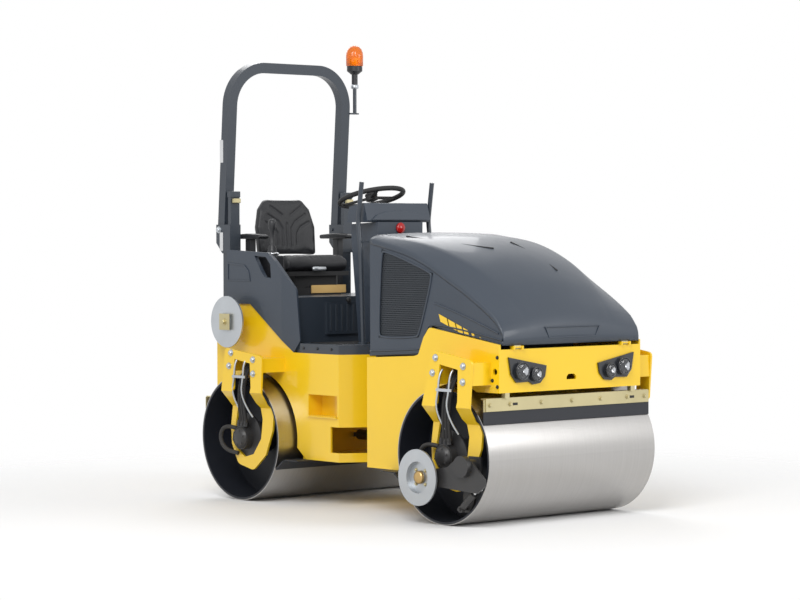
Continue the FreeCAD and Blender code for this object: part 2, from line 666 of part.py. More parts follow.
def make_steering_wheel():
    """Column on the dash and a three-spoke wheel, both along the tilted column axis."""
    tilt = math.radians(float(d.wheel_tilt))
    axis = FreeCAD.Vector(-math.sin(tilt), 0, math.cos(tilt))
    hub = vec(d.wheel_x, 0, d.wheel_z)
    lean = FreeCAD.Rotation(FreeCAD.Vector(0, 0, 1), axis)
    column = Part.makeCylinder(float(d.column_radius), 130, hub - axis * 165, axis)
    column = column.fuse(Part.makeCylinder(9, 40, hub - axis * 40, axis))
    DOC.recompute()
    node("steering_column", solid("steering_column_solid", column.cut(NODES["dash_console"].Shape)))
    rim = Part.makeTorus(float(d.wheel_radius), float(d.wheel_grip))
    boss = Part.makeCylinder(34, 30, FreeCAD.Vector(0, 0, -18))
    wheel = rim.fuse(boss)
    for turn in (90, 210, 330):
        spoke = Part.makeBox(float(d.wheel_radius), 26, 10, FreeCAD.Vector(0, -13, -8))
        spoke.rotate(FreeCAD.Vector(), FreeCAD.Vector(0, 0, 1), turn)
        wheel = wheel.fuse(spoke)
    wheel = wheel.cut(Part.makeCylinder(9 + float(d.fit), 25, FreeCAD.Vector(0, 0, -20)))
    feature = solid("steering_wheel_solid", wheel.removeSplitter())
    feature.Placement = FreeCAD.Placement(hub, lean)
    node("steering_wheel", feature)


# Roll-over bar

def make_rops():
    outer = d.hoop_half
    inner = d.hoop_half - d.hoop_tube
    cheek_top = d.hoop_pivot_z + d.cheek_rise
    cheeks = []
    for name, low, high in (
        ("outer", outer + d.fit, outer + d.fit + d.cheek), ("inner", inner - d.fit - d.cheek, inner - d.fit),
    ):
        cheeks.append(prism(f"{name}_cheek", "XZ", [
            (d.cheek_rear, CHEEK_FOOT + 60), (d.cheek_rear, cheek_top), (d.cheek_front, cheek_top),
            (d.cheek_front, CHEEK_FOOT), (d.post_front - d.post_depth, CHEEK_FOOT),
        ], low, high))
    column = box(
        "post_column", (d.post_front - d.post_depth, d.post_front), (inner - d.fit - 1, outer + d.fit + 1),
        (d.deck_under + d.plate + d.fit, CHEEK_FOOT + 30),
    )
    strut = box(
        "post_strut", (d.cheek_front - d.strut_depth, d.cheek_front), (inner - d.fit - 1, outer + d.fit + 1),
        (CHEEK_FOOT, d.hoop_pivot_z + d.strut_rise),
    )
    bolt = rod(
        "hoop_pivot_bolt", "Y", (d.hoop_pivot_x, d.hoop_pivot_z), d.hoop_bolt,
        inner - d.fit - d.cheek - 6, outer + d.fit + d.cheek + 8,
    )
    node("rops_posts", pair("rops_post_pair", fuse("rops_post", *cheeks, column, strut, bolt)))

    loop = prism("hoop_loop", "YZ", [
        (-d.hoop_half, -d.hoop_tail), (-d.hoop_half, d.hoop_top - d.hoop_pivot_z),
        (d.hoop_half, d.hoop_top - d.hoop_pivot_z), (d.hoop_half, -d.hoop_tail),
        (d.hoop_half - d.hoop_tube, -d.hoop_tail),
        (d.hoop_half - d.hoop_tube, d.hoop_top - d.hoop_pivot_z - d.hoop_tube),
        (-d.hoop_half + d.hoop_tube, d.hoop_top - d.hoop_pivot_z - d.hoop_tube),
        (-d.hoop_half + d.hoop_tube, -d.hoop_tail),
    ], -d.hoop_tube / 2 + 6, d.hoop_tube / 2 + 6, rounds=[
        (1, d.hoop_corner), (2, d.hoop_corner),
        (5, d.hoop_corner - d.hoop_tube), (6, d.hoop_corner - d.hoop_tube),
    ])
    loop.Placement = FreeCAD.Placement(
        vec(d.hoop_pivot_x, 0, d.hoop_pivot_z),
        FreeCAD.Rotation(FreeCAD.Vector(0, 1, 0), float(d.hoop_lean)),
    )
    bore = rod(
        "hoop_bore", "Y", (d.hoop_pivot_x, d.hoop_pivot_z), d.hoop_bolt + d.fit,
        -d.hoop_half - 1, d.hoop_half + 1,
    )
    arm_y = (d.hoop_half - 1, d.beacon_y + 16)
    arm = box("beacon_arm", (d.beacon_x - 20, d.beacon_x + 20), arm_y, (d.beacon_foot, d.beacon_foot + 8))
    pole = rod("beacon_pole", "Z", (d.beacon_x, d.beacon_y), 11, d.beacon_foot + 7, d.beacon_seat - 110)
    node("rops_hoop", fuse("hoop_solid", cut("hoop_cut", loop, bore), arm, pole))
    seat = d.beacon_seat - d.fit
    node("beacon_base", fuse(
        "beacon_base_solid",
        rod("beacon_neck", "Z", (d.beacon_x, d.beacon_y), 18, d.beacon_seat - 110 + d.fit, d.beacon_seat - 49),
        cone("beacon_cup", (d.beacon_x, d.beacon_y), d.beacon_seat - 50, 22, 46, 20),
        rod("beacon_ring", "Z", (d.beacon_x, d.beacon_y), 46, d.beacon_seat - 31, seat),
    ))
    node("beacon_lens", fuse(
        "beacon_lens_solid",
        rod("beacon_drum", "Z", (d.beacon_x, d.beacon_y), d.beacon_radius, d.beacon_seat, d.beacon_peak - 34),
        cone("beacon_cap", (d.beacon_x, d.beacon_y), d.beacon_peak - 34, d.beacon_radius, 26, 34),
    ))


def cone(name, centre, low, first, second, height):
    shape = DOC.addObject("Part::Cone", name)
    bind(shape, "Radius1", as_size(first))
    bind(shape, "Radius2", as_size(second))
    bind(shape, "Height", as_size(height))
    for letter, term in zip("xyz", (*centre, low)):
        bind(shape, f"Placement.Base.{letter}", term)
    return shape


# Centre joint and steering ram

def make_knuckle():
    height = d.steer_height
    lug_y = (-d.steer_arm - 22, as_size(-40))
    pieces = [
        rod("knuckle_barrel", "Z", (0, 0), d.pin_radius * 2, d.knuckle_foot, d.knuckle_top),
        rod("knuckle_pin", "Z", (0, 0), d.pin_radius - d.fit, d.belly, d.knuckle_top + 4 + d.lug_thick),
        box("knuckle_block", (0, 255), (-70, 70), (d.roll_axis - 95, d.roll_axis + 95)),
        rod("roll_shaft", "X", (0, d.roll_axis), d.roll_bore - d.fit, 250, d.front_wall + d.plate + 2),
        rod(
            "roll_nut", "X", (0, d.roll_axis), d.roll_bore + 18,
            d.front_wall + d.plate + 1, d.front_wall + d.plate * 2,
        ),
    ]
    for name, low, high in (("low", height - 28, height - 14), ("high", height + 14, height + 28)):
        arm = box(f"steer_lug_{name}", (-22, 22), lug_y, (low, high))
        eye = rod(f"steer_eye_{name}", "Z", (0, -d.steer_arm), 14, low - 1, high + 1)
        pieces.append(cut(f"steer_arm_{name}", arm, eye))
    node("knuckle", fuse("knuckle_solid", *pieces))


def make_ram():
    """Steering ram: the barrel swings on the rear frame and the rod's eye meets the knuckle's arm."""
    x, y, z = d.ram_pin_x, d.ram_pin_y, d.steer_height
    barrel = fuse(
        "ram_barrel_solid",
        rod("ram_eye_end", "Z", (x, y), d.ram_eye, z - 12, z + 12),
        rod("ram_tube", "X", (y, z), d.ram_radius, x + 24, x + d.ram_length),
        rod("ram_neck_bar", "X", (y, z), d.ram_neck, x + d.ram_eye - 4, x + 26),
    )
    node("steer_barrel", cut(
        "ram_barrel_cut", barrel,
        rod("ram_eye_bore", "Z", (x, y), d.ram_pin + d.fit, z - 13, z + 13),
        rod("ram_bore", "X", (y, z), d.ram_rod + d.fit, x + 60, x + d.ram_length + 1),
    ))
    node("steer_rod", fuse(
        "ram_rod_solid",
        rod("ram_rod_bar", "X", (y, z), d.ram_rod, -d.ram_rod_length, as_size(-10)),
        rod("ram_rod_eye", "Z", (0, y), d.ram_eye, z - 10, z + 10),
    ))


# Front frame and hood

def make_front_frame():
    inner = d.front_half - d.plate
    side = prism("front_side", "XZ", [
        (d.front_edge, d.front_foot), (d.front_wall + 62, d.front_foot), (FRONT_AXLE, d.drum_radius),
        (FRONT_AXLE, d.panel_foot), (d.front_nose, d.panel_foot), (d.front_nose, d.sill_front),
        (d.sill_rise, d.sill_high), (d.sill_rise - 45, d.sill_high - 55), (d.sill_dip + 35, d.sill_low + 8),
        (d.sill_dip, d.sill_low), (d.front_edge, d.sill_rear),
    ], inner, d.front_half, rounds=[(6, as_size(30)), (8, as_size(20))])
    carrier = make_carrier("front", FRONT_AXLE, d.front_half, FRONT_HEAD)
    node("front_carriers", pair("front_carrier_pair", carrier))
    cheeks = []
    for name, low in (("inner", d.hinge_inner - 1 - d.hinge_cheek), ("outer", d.hinge_outer + 1)):
        cheeks.append(box(
            f"{name}_hinge_cheek", (d.front_nose - d.plate, d.hinge_x + 8), (low, low + d.hinge_cheek),
            (d.panel_top - 1, d.hinge_z + 7),
        ))
    pin = rod("hood_pin", "Y", (d.hinge_x, d.hinge_z), d.hinge_pin, d.hinge_inner - 6, d.hinge_outer + 6)
    half = cut(
        "front_half_cut", fuse("front_half_solid", side, *cheeks, pin),
        rod(
            "front_arch", "Y", (FRONT_AXLE, d.drum_radius), d.drum_radius + d.guard_gap,
            as_size(300), d.drum_half + 1,
        ),
        rod("front_tie_hole", "Y", (d.front_tie_x, d.front_tie_z), d.front_eyelet, inner - 5, d.front_half + 5),
    )
    slot_foot = d.panel_foot + d.slot_rise
    slot_top = slot_foot + d.slot_height
    across = (-inner - 1, inner + 1)
    end = prism("front_panel", "YZ", [
        (-inner - 1, d.panel_foot), (inner + 1, d.panel_foot), (inner + 1, d.panel_top),
        (-inner - 1, d.panel_top),
    ], d.front_nose - d.plate, d.front_nose, holes=[[
        (-d.slot_half, slot_foot), (d.slot_half, slot_foot), (d.slot_half, slot_top - d.slot_corner),
        (d.slot_half - d.slot_corner, slot_top), (d.slot_corner - d.slot_half, slot_top),
        (-d.slot_half, slot_top - d.slot_corner),
    ]])
    sheets = [
        box(f"front_{name}", along, across, up)
        for name, along, up in (
            ("cross", (d.front_wall, d.front_wall + d.plate), (d.front_foot, d.sill_rear)),
            ("deck", (d.front_wall + 1, d.front_nose - 1), (FRONT_DECK, FRONT_DECK + d.plate)),
            ("shelf", (d.front_edge + 15, d.front_wall + 1), (d.sill_rear - d.plate, d.sill_rear)),
            ("belly", (d.front_wall, d.front_wall + 62), (d.front_foot, d.front_foot + d.plate)),
            ("flange", (d.front_nose - 60, d.front_nose), (d.panel_top - d.plate, d.panel_top)),
        )
    ]
    housing = rod("roll_housing", "X", (0, d.roll_axis), d.roll_bore + 32, d.front_wall - 60, d.front_wall + 1)
    whole = fuse(
        "front_frame_solid", half, mirror("front_half_mirrored", half), end, *sheets, housing,
    )
    node("front_frame", cut(
        "front_frame_cut", whole,
        rod("roll_bore_cut", "X", (0, d.roll_axis), d.roll_bore, d.front_wall - 61, d.front_wall + d.plate + 1),
    ))
    node("engine", box(
        "engine_block", (d.engine_rear, d.engine_front), (-d.engine_half, d.engine_half),
        (FRONT_DECK + d.plate + d.fit, d.engine_top),
    ))
    node("cowl", prism("cowl_plate", "YZ", [
        (-d.cowl_half, d.sill_rear + d.fit), (d.cowl_half, d.sill_rear + d.fit), (d.cowl_half, d.cowl_top),
        (d.cowl_half - 60, d.cowl_top + 25), (-d.cowl_half + 60, d.cowl_top + 25), (-d.cowl_half, d.cowl_top),
    ], d.cowl_x, d.cowl_x + d.plate))
    pod = prism("pod_plate", "YZ", [
        (as_size(453), as_size(865)), (as_size(188), as_size(816)), (as_size(198), as_size(762)),
        (as_size(232), as_size(728)), (as_size(285), as_size(722)), (as_size(312), as_size(738)),
        (as_size(400), as_size(735)), (as_size(436), as_size(775)),
    ], d.front_nose + d.fit, d.front_nose + d.fit + d.pod_depth)
    lamps = [
        rod("outer_lamp", "X", (369, 794), 47, d.front_nose + d.pod_depth, d.front_nose + d.pod_depth + 10),
        rod("inner_lamp", "X", (269, 775), 38, d.front_nose + d.pod_depth, d.front_nose + d.pod_depth + 10),
    ]
    node("headlamp_pods", pair("pod_pair", fuse("pod_solid", pod, *lamps)))


GRILLE = outline("grille", [(245, 1411), (656, 1285), (542, 948), (219, 938)])
HOOD_STATIONS = [
    # x, shoulder height, band half-width, band height, crown height
    (150, 1465, 440, 1485, 1497),
    (500, 1385, 412, 1436, 1469),
    (800, 1252, 372, 1335, 1385),
    (1000, 1146, 336, 1215, 1262),
    (1130, 1060, 308, 1090, 1118),
    (1178, 1000, 300, 1020, 1040),
]


def hood_section(station, inset):
    x, shoulder, band, band_height, crown = station
    half = d.hood_half - inset
    low = d.sill_rear - 12
    return [
        (x, half, low), (x, half, shoulder - inset), (x, band - inset, band_height - inset),
        (x, band * 0.5, (band_height + crown * 2) / 3 - inset), (x, as_size(0), crown - inset),
    ]


def make_hood():
    stations = []
    for number, (x, shoulder, band, band_height, crown) in enumerate(HOOD_STATIONS):
        stations.append((
            dim(f"hood_x_{number}", x), dim(f"hood_shoulder_{number}", shoulder), dim(f"hood_band_{number}", band),
            dim(f"hood_band_height_{number}", band_height), dim(f"hood_crown_{number}", crown),
        ))

    def skin(inset, ends):
        wires = []
        for station, shift in zip(stations, ends):
            half = [vec(x + shift, y, z) for x, y, z in hood_section(station, inset)]
            ring = half + [FreeCAD.Vector(p.x, -p.y, p.z) for p in reversed(half[:-1])]
            wires.append(Part.makePolygon([*ring, ring[0]]))
        return Part.makeLoft(wires, True, True)

    wall = float(d.hood_wall)
    outer = skin(0, [0] * len(stations))
    inner = skin(wall, [-wall, 0, 0, 0, -wall / 2, -wall])
    shell = outer.cut(inner)
    nose = d.front_nose
    below = Part.makePolygon([
        vec(0, -600, 0), vec(nose + 60, -600, 0), vec(nose + 60, -600, d.panel_top + 20),
        vec(d.sill_rise, -600, d.sill_high + 7), vec(d.sill_rise - 50, -600, d.sill_high - 50),
        vec(d.sill_dip + 30, -600, d.sill_low + 14), vec(d.sill_dip, -600, d.sill_low + 6),
        vec(0, -600, d.sill_rear + 6), vec(0, -600, 0),
    ])
    shell = shell.cut(Part.Face(below).extrude(FreeCAD.Vector(0, 1200, 0)))
    shell = shell.cut(side_plate(GRILLE, 0, -600, 1200))
    sideways = FreeCAD.Vector(0, 1, 0)
    for sign in (1, -1):
        low = float(d.hinge_inner) if sign > 0 else -float(d.hinge_outer)
        width = float(d.hinge_outer - d.hinge_inner)
        lug = Part.makeBox(12, width, 32, vec(d.front_nose - 6, low, d.hinge_z + 3))
        ring = Part.makeCylinder(float(d.hinge_knuckle), width, vec(d.hinge_x, low, d.hinge_z), sideways)
        shell = shell.fuse([lug, ring])
    bore = Part.makeCylinder(float(d.hinge_pin + d.fit), 1000, vec(d.hinge_x, -500, d.hinge_z), sideways)
    node("hood_shell", solid("hood_shell_solid", shell.cut(bore).removeSplitter()))
    grilles = []
    for sign in (1, -1):
        start = float(d.hood_half) - 9 if sign > 0 else 3 - float(d.hood_half)
        plate = side_plate(GRILLE, float(d.fit) * 3, start, 6)
        top = shell_limit(stations, float(d.hood_half) + 20)
        grilles.append(plate.common(top))
    node("hood_grilles", solid("hood_grille_solids", Part.Compound(grilles)))


def side_plate(corners, inset, start, thick):
    """A plate across the machine: an outline whose corners are drawn in towards its middle."""
    points = [vec(x, start, z) for x, z in corners]
    middle = vec(0, 0, 0)
    for point in points:
        middle += point / len(points)
    drawn = [point + (middle - point).normalize() * inset for point in points]
    return Part.Face(Part.makePolygon([*drawn, drawn[0]])).extrude(FreeCAD.Vector(0, thick, 0))


def shell_limit(stations, half):
    """The space under the hood's shoulder line, which the side grilles stay within."""
    points = [vec(stations[0][0], 0, 800)]
    points += [vec(x, 0, shoulder - 1) for x, shoulder, _, _, _ in stations]
    points += [vec(stations[-1][0], 0, 800), points[0]]
    face = Part.Face(Part.makePolygon(points))
    face.translate(FreeCAD.Vector(0, -half, 0))
    return face.extrude(FreeCAD.Vector(0, half * 2, 0))


# Edge cutter and the spare disc

def make_discs():
    thick = d.disc_thick
    plate = rod("spare_plate", "Y", (d.spare_x, d.spare_z), d.disc_radius, d.spare_y, d.spare_y + thick)
    nut = box(
        "spare_nut", (d.spare_x - 32, d.spare_x + 32), (d.spare_y - 12, d.spare_y + 1), (d.spare_z - 32, d.spare_z + 32),
    )
    node("spare_disc", fuse("spare_disc_solid", plate, nut))

    centre = (d.cutter_x, d.cutter_z)
    rim = rod("cutter_rim", "Y", centre, d.disc_radius, -d.cutter_out, -d.cutter_out + thick)
    cup = rod("cutter_cup", "Y", centre, d.cutter_recess, -d.cutter_out, -d.cutter_back)
    space = rod("cutter_space", "Y", centre, d.cutter_recess - 8, -d.cutter_out - 1, -d.cutter_back - 6)
    hub = rod("cutter_hub", "Y", centre, 30, -d.cutter_out + 8, -d.cutter_back - 5)
    bore = rod("cutter_bore", "Y", centre, 10 + d.fit, -d.cutter_out - 2, -d.cutter_back + 1)
    dish = cut("cutter_dish", fuse("cutter_blank", rim, cup), space)
    node("edge_disc", cut("edge_disc_cut", fuse("edge_disc_solid", dish, hub), bore))

    bracket_face = -d.bracket_low_face
    pivot = (d.arm_x, d.arm_z)
    foot = (d.foot_x, d.foot_z)
    mount = prism("edge_mount_plate", "XZ", [
        (d.arm_x - 50, d.arm_z + 45), (d.arm_x + 40, d.arm_z + 45), (d.arm_x + 45, d.arm_z - 30),
        (d.foot_x + 45, d.foot_z + 20), (d.foot_x + 12, d.foot_z - 20), (d.foot_x - 22, d.foot_z - 20),
        (d.foot_x - 30, d.foot_z + 60),
    ], bracket_face - d.plate, bracket_face - d.fit)
    node("edge_mount", fuse(
        "edge_mount_solid", mount,
        rod("arm_pivot_pin", "Y", pivot, d.arm_pin, -d.arm_in - d.arm_thick - 8, bracket_face - d.plate + 1),
        rod("arm_pivot_collar", "Y", pivot, d.arm_pin + 14, -d.arm_in + 1, bracket_face - d.plate + 1),
        rod("jack_foot_pin", "Y", foot, d.jack_pin, -d.jack_y - 22, bracket_face - d.plate + 1),
    ))
    plate = prism("edge_arm_plate", "XZ", [
        (d.cutter_x - 25, d.cutter_z + 30), (d.arm_x - 130, d.arm_z - 12), (d.arm_x - 70, d.arm_z + 30),
        (d.arm_x + 45, d.arm_z + 30), (d.arm_x + 150, d.arm_z - 58), (d.arm_x + 150, d.arm_z - 90),
        (d.tip_x + 20, d.tip_z - 22), (d.cutter_x - 25, d.cutter_z - 35),
    ], -d.arm_in - d.arm_thick, -d.arm_in, rounds=[(0, as_size(20)), (7, as_size(20))])
    outside = -d.arm_in - d.arm_thick
    cap = rod("edge_arm_cap", "Y", pivot, d.arm_cap, outside - d.cap_depth, outside + 1)
    spindle = rod("edge_spindle", "Y", centre, 10, -d.cutter_out + 2, -d.arm_in - d.arm_thick + 1)
    tip = rod("edge_tip_pin", "Y", (d.tip_x, d.tip_z), d.jack_pin, -d.arm_in - 1, -d.jack_y + 10)
    arm_bore = rod("edge_arm_bore", "Y", pivot, d.arm_pin + d.fit, -d.arm_in - d.arm_thick - 9, -d.arm_in + 2)
    node("edge_arm", cut("edge_arm_cut", fuse("edge_arm_solid", plate, cap, spindle, tip), arm_bore))

    lift = math.atan2(float(d.tip_z - d.foot_z), float(d.tip_x - d.foot_x))
    heading = FreeCAD.Vector(math.cos(lift), 0, math.sin(lift))
    start = vec(d.foot_x, -d.jack_y, d.foot_z)
    across = FreeCAD.Vector(0, 1, 0)
    eye_half = 10
    reach = float(d.jack_length)
    barrel = Part.makeCylinder(float(d.jack_radius), reach - 22, start + heading * 22, heading)
    barrel = barrel.fuse([
        Part.makeCylinder(float(d.jack_eye), eye_half * 2, start - across * eye_half, across),
        Part.makeCylinder(9, 16, start + heading * 12, heading),
    ])
    barrel = barrel.cut(Part.makeCylinder(float(d.jack_pin + d.fit), 60, start - across * 30, across))
    barrel = barrel.cut(Part.makeCylinder(float(d.jack_rod + d.fit), reach, start + heading * 40, heading))
    node("edge_barrel", solid("edge_barrel_solid", barrel))
    end = vec(d.tip_x, -d.jack_y, d.tip_z)
    bar = Part.makeCylinder(float(d.jack_rod), 115, end - heading * 127, heading)
    bar = bar.fuse(Part.makeCylinder(float(d.jack_eye), eye_half * 2, end - across * eye_half, across))
    bar = bar.cut(Part.makeCylinder(float(d.jack_pin + d.jack_slack), 60, end - across * 30, across))
    node("edge_rod", solid("edge_rod_solid", bar))


def make_running_gear():
    for end, axle, head, window in (
        ("front", FRONT_AXLE, FRONT_HEAD, FRONT_WINDOW), ("rear", REAR_AXLE, REAR_HEAD, REAR_WINDOW),
    ):
        node(f"{end}_brackets", make_bracket(end, axle, head, window))
        node(f"{end}_drum", make_drum(end, axle))
        node(f"{end}_motors", make_motors(end, axle))
    low = make_low_scraper("front", FRONT_AXLE, -1, d.front_foot)
    high = make_high_scraper(
        "front", FRONT_AXLE, 1, as_size(178), as_size(302), as_size(660), d.front_nose - FRONT_AXLE,
    )
    node("front_scrapers", group("front_scraper_set", low, fuse("front_high_scraper", *high)))
    low = make_low_scraper("rear", REAR_AXLE, 1, d.belly)
    high = make_high_scraper(
        "rear", REAR_AXLE, -1, as_size(150), as_size(317), d.skirt_foot - 25 - d.fit, REAR_AXLE - d.rear_back,
    )
    node("rear_scrapers", group("rear_scraper_set", low, fuse("rear_high_scraper", *high)))
    lamp = box(
        "tail_lamp", (d.rear_back - 9, d.rear_back - d.fit), (as_size(360), as_size(440)), (as_size(900), as_size(960)),
    )
    node("tail_lamps", pair("tail_lamp_pair", lamp))


def check_and_export():
    DOC.recompute()
    bad = [thing.Name for thing in DOC.Objects if "Invalid" in thing.State or "Error" in thing.State]
    if bad:
        raise RuntimeError(f"failed features: {bad}")
    for name, thing in NODES.items():
        if thing.Shape.isNull() or not thing.Shape.isValid() or not thing.Shape.Solids:
            raise RuntimeError(f"bad shape: {name}")
    os.makedirs("parts", exist_ok=True)
    for name, thing in NODES.items():
        thing.Shape.exportStep(f"parts/{name}.step")
    print(f"{len(NODES)} sub-parts written")


make_running_gear()
make_rear_frame()
make_platform()
make_side_panels()
make_seat()
make_dash()
make_steering_wheel()
make_rops()
make_knuckle()
make_ram()
make_front_frame()
make_hood()
make_discs()
check_and_export()
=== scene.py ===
import json
import math

import bmesh
import bpy
from mathutils import Matrix, Vector
from mathutils.geometry import tessellate_polygon


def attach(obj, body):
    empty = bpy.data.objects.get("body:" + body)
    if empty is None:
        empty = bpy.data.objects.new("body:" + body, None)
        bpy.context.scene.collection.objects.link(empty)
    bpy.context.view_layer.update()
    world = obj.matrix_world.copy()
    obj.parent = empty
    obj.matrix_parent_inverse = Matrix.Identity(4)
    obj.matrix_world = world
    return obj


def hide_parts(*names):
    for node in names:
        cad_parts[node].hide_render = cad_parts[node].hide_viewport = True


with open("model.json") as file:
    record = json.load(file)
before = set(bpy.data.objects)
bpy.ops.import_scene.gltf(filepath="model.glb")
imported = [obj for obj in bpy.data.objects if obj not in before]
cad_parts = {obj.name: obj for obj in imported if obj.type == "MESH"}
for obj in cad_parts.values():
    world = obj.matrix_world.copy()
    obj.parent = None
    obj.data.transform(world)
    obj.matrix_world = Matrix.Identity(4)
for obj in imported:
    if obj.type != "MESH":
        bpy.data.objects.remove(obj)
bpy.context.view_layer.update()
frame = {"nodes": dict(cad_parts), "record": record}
scene = bpy.context.scene

# Places that the frame gives
FRONT_AXLE = Vector((0.85, 0.0, 0.35))
REAR_AXLE = Vector((-0.85, 0.0, 0.35))
BRACKET_FACE = 0.656
HOOD_HALF = 0.490
SIDE_PANEL_OUT = 0.497
FRONT_HALF = 0.512
REAR_HALF = 0.485
NOSE_X = 1.178
HOOD_BACK = 0.150
HOOD_FOOT = 0.925
SIDES = (("left", 1), ("right", -1))


# Node groups for the effects that several materials share

def add(tree, kind, feeds=None, **settings):
    made = tree.nodes.new(kind)
    for key, value in settings.items():
        setattr(made, key, value)
    for key, value in (feeds or {}).items():
        if isinstance(value, bpy.types.NodeSocket):
            tree.links.new(value, made.inputs[key])
        else:
            made.inputs[key].default_value = value
    return made


def new_group(name, inputs, outputs):
    group = bpy.data.node_groups.new(name, "ShaderNodeTree")
    for socket, kind, value in inputs:
        made = group.interface.new_socket(name=socket, in_out="INPUT", socket_type=kind)
        made.default_value = value
    for socket, kind in outputs:
        group.interface.new_socket(name=socket, in_out="OUTPUT", socket_type=kind)
    return group, group.nodes.new("NodeGroupInput"), group.nodes.new("NodeGroupOutput")


COLOUR, NUMBER = "NodeSocketColor", "NodeSocketFloat"
BLACK = (0.0, 0.0, 0.0, 1)
PATCH_SCALE = 5.0
DUST_TOP = 0.75
DUST_FULL = 0.10


def surface_group(name, stretch):
    """Colour drift, a film of dust near the ground, roughness patches and a fine height."""
    group, entry, leave = new_group(name, [
        ("Colour", COLOUR, (0.5, 0.5, 0.5, 1)), ("Dust Colour", COLOUR, (0.3, 0.27, 0.23, 1)),
        ("Drift", NUMBER, 0.1), ("Dust", NUMBER, 0.15), ("Roughness", NUMBER, 0.4),
        ("Grain Scale", NUMBER, 400.0),
    ], [("Colour", COLOUR), ("Roughness", NUMBER), ("Height", NUMBER)])
    place = add(group, "ShaderNodeTexCoord").outputs["Object"]
    mapped = add(group, "ShaderNodeMapping", {"Vector": place, "Scale": stretch}).outputs["Vector"]
    patches = add(group, "ShaderNodeTexNoise", {"Vector": mapped, "Scale": PATCH_SCALE, "Detail": 5.0})
    grain = add(group, "ShaderNodeTexNoise", {
        "Vector": mapped, "Scale": entry.outputs["Grain Scale"], "Detail": 2.0,
    })
    up = add(group, "ShaderNodeSeparateXYZ", {"Vector": place}).outputs["Z"]
    low = add(group, "ShaderNodeMapRange", {
        "Value": up, "From Min": DUST_TOP, "From Max": DUST_FULL, "To Min": 0.0, "To Max": 1.0,
    }).outputs["Result"]
    film = add(group, "ShaderNodeMath", {0: low, 1: patches.outputs["Fac"]}, operation="MULTIPLY")
    film = add(group, "ShaderNodeMath", {0: film.outputs[0], 1: entry.outputs["Dust"]}, operation="MULTIPLY")
    drift = add(group, "ShaderNodeMath", {
        0: patches.outputs["Fac"], 1: entry.outputs["Drift"]}, operation="MULTIPLY").outputs[0]
    darker = add(group, "ShaderNodeMixRGB", {
        "Fac": drift, "Color1": entry.outputs["Colour"], "Color2": BLACK,
    })
    dusty = add(group, "ShaderNodeMixRGB", {
        "Fac": film.outputs[0], "Color1": darker.outputs[0], "Color2": entry.outputs["Dust Colour"],
    })
    rougher = add(group, "ShaderNodeMath", {0: drift, 1: entry.outputs["Roughness"]}, operation="ADD")
    group.links.new(dusty.outputs[0], leave.inputs["Colour"])
    group.links.new(rougher.outputs[0], leave.inputs["Roughness"])
    group.links.new(grain.outputs["Fac"], leave.inputs["Height"])
    return group


EVEN_SURFACE = surface_group("even_surface", (1.0, 1.0, 1.0))
TURNED_SURFACE = surface_group("turned_surface", (0.6, 30.0, 0.6))


def finish(name, colour, roughness, metallic=0.0, coat=0.0, drift=0.12, dust=0.15, grain=400.0,
           bump=0.08, group=EVEN_SURFACE):
    """A material whose colour, roughness and fine relief vary over the surface."""
    made = bpy.data.materials.new(name)
    made.use_nodes = True
    tree = made.node_tree
    shader = tree.nodes["Principled BSDF"]
    surface = add(tree, "ShaderNodeGroup", node_tree=group)
    for socket, value in (
        ("Colour", (*colour, 1)), ("Drift", drift), ("Dust", dust), ("Roughness", roughness),
        ("Grain Scale", grain),
    ):
        surface.inputs[socket].default_value = value
    relief = add(tree, "ShaderNodeBump", {
        "Height": surface.outputs["Height"], "Strength": bump, "Distance": 0.001,
    })
    tree.links.new(surface.outputs["Colour"], shader.inputs["Base Color"])
    tree.links.new(surface.outputs["Roughness"], shader.inputs["Roughness"])
    tree.links.new(relief.outputs["Normal"], shader.inputs["Normal"])
    shader.inputs["Metallic"].default_value = metallic
    shader.inputs["Coat Weight"].default_value = coat
    shader.inputs["Coat Roughness"].default_value = 0.08
    return made


def clear_finish(name, colour, roughness, transmission):
    """A lens or glass: clean, smooth and partly see-through."""
    made = finish(name, colour, roughness, drift=0.05, dust=0.0, grain=60.0, bump=0.05)
    made.node_tree.nodes["Principled BSDF"].inputs["Transmission Weight"].default_value = transmission
    return made


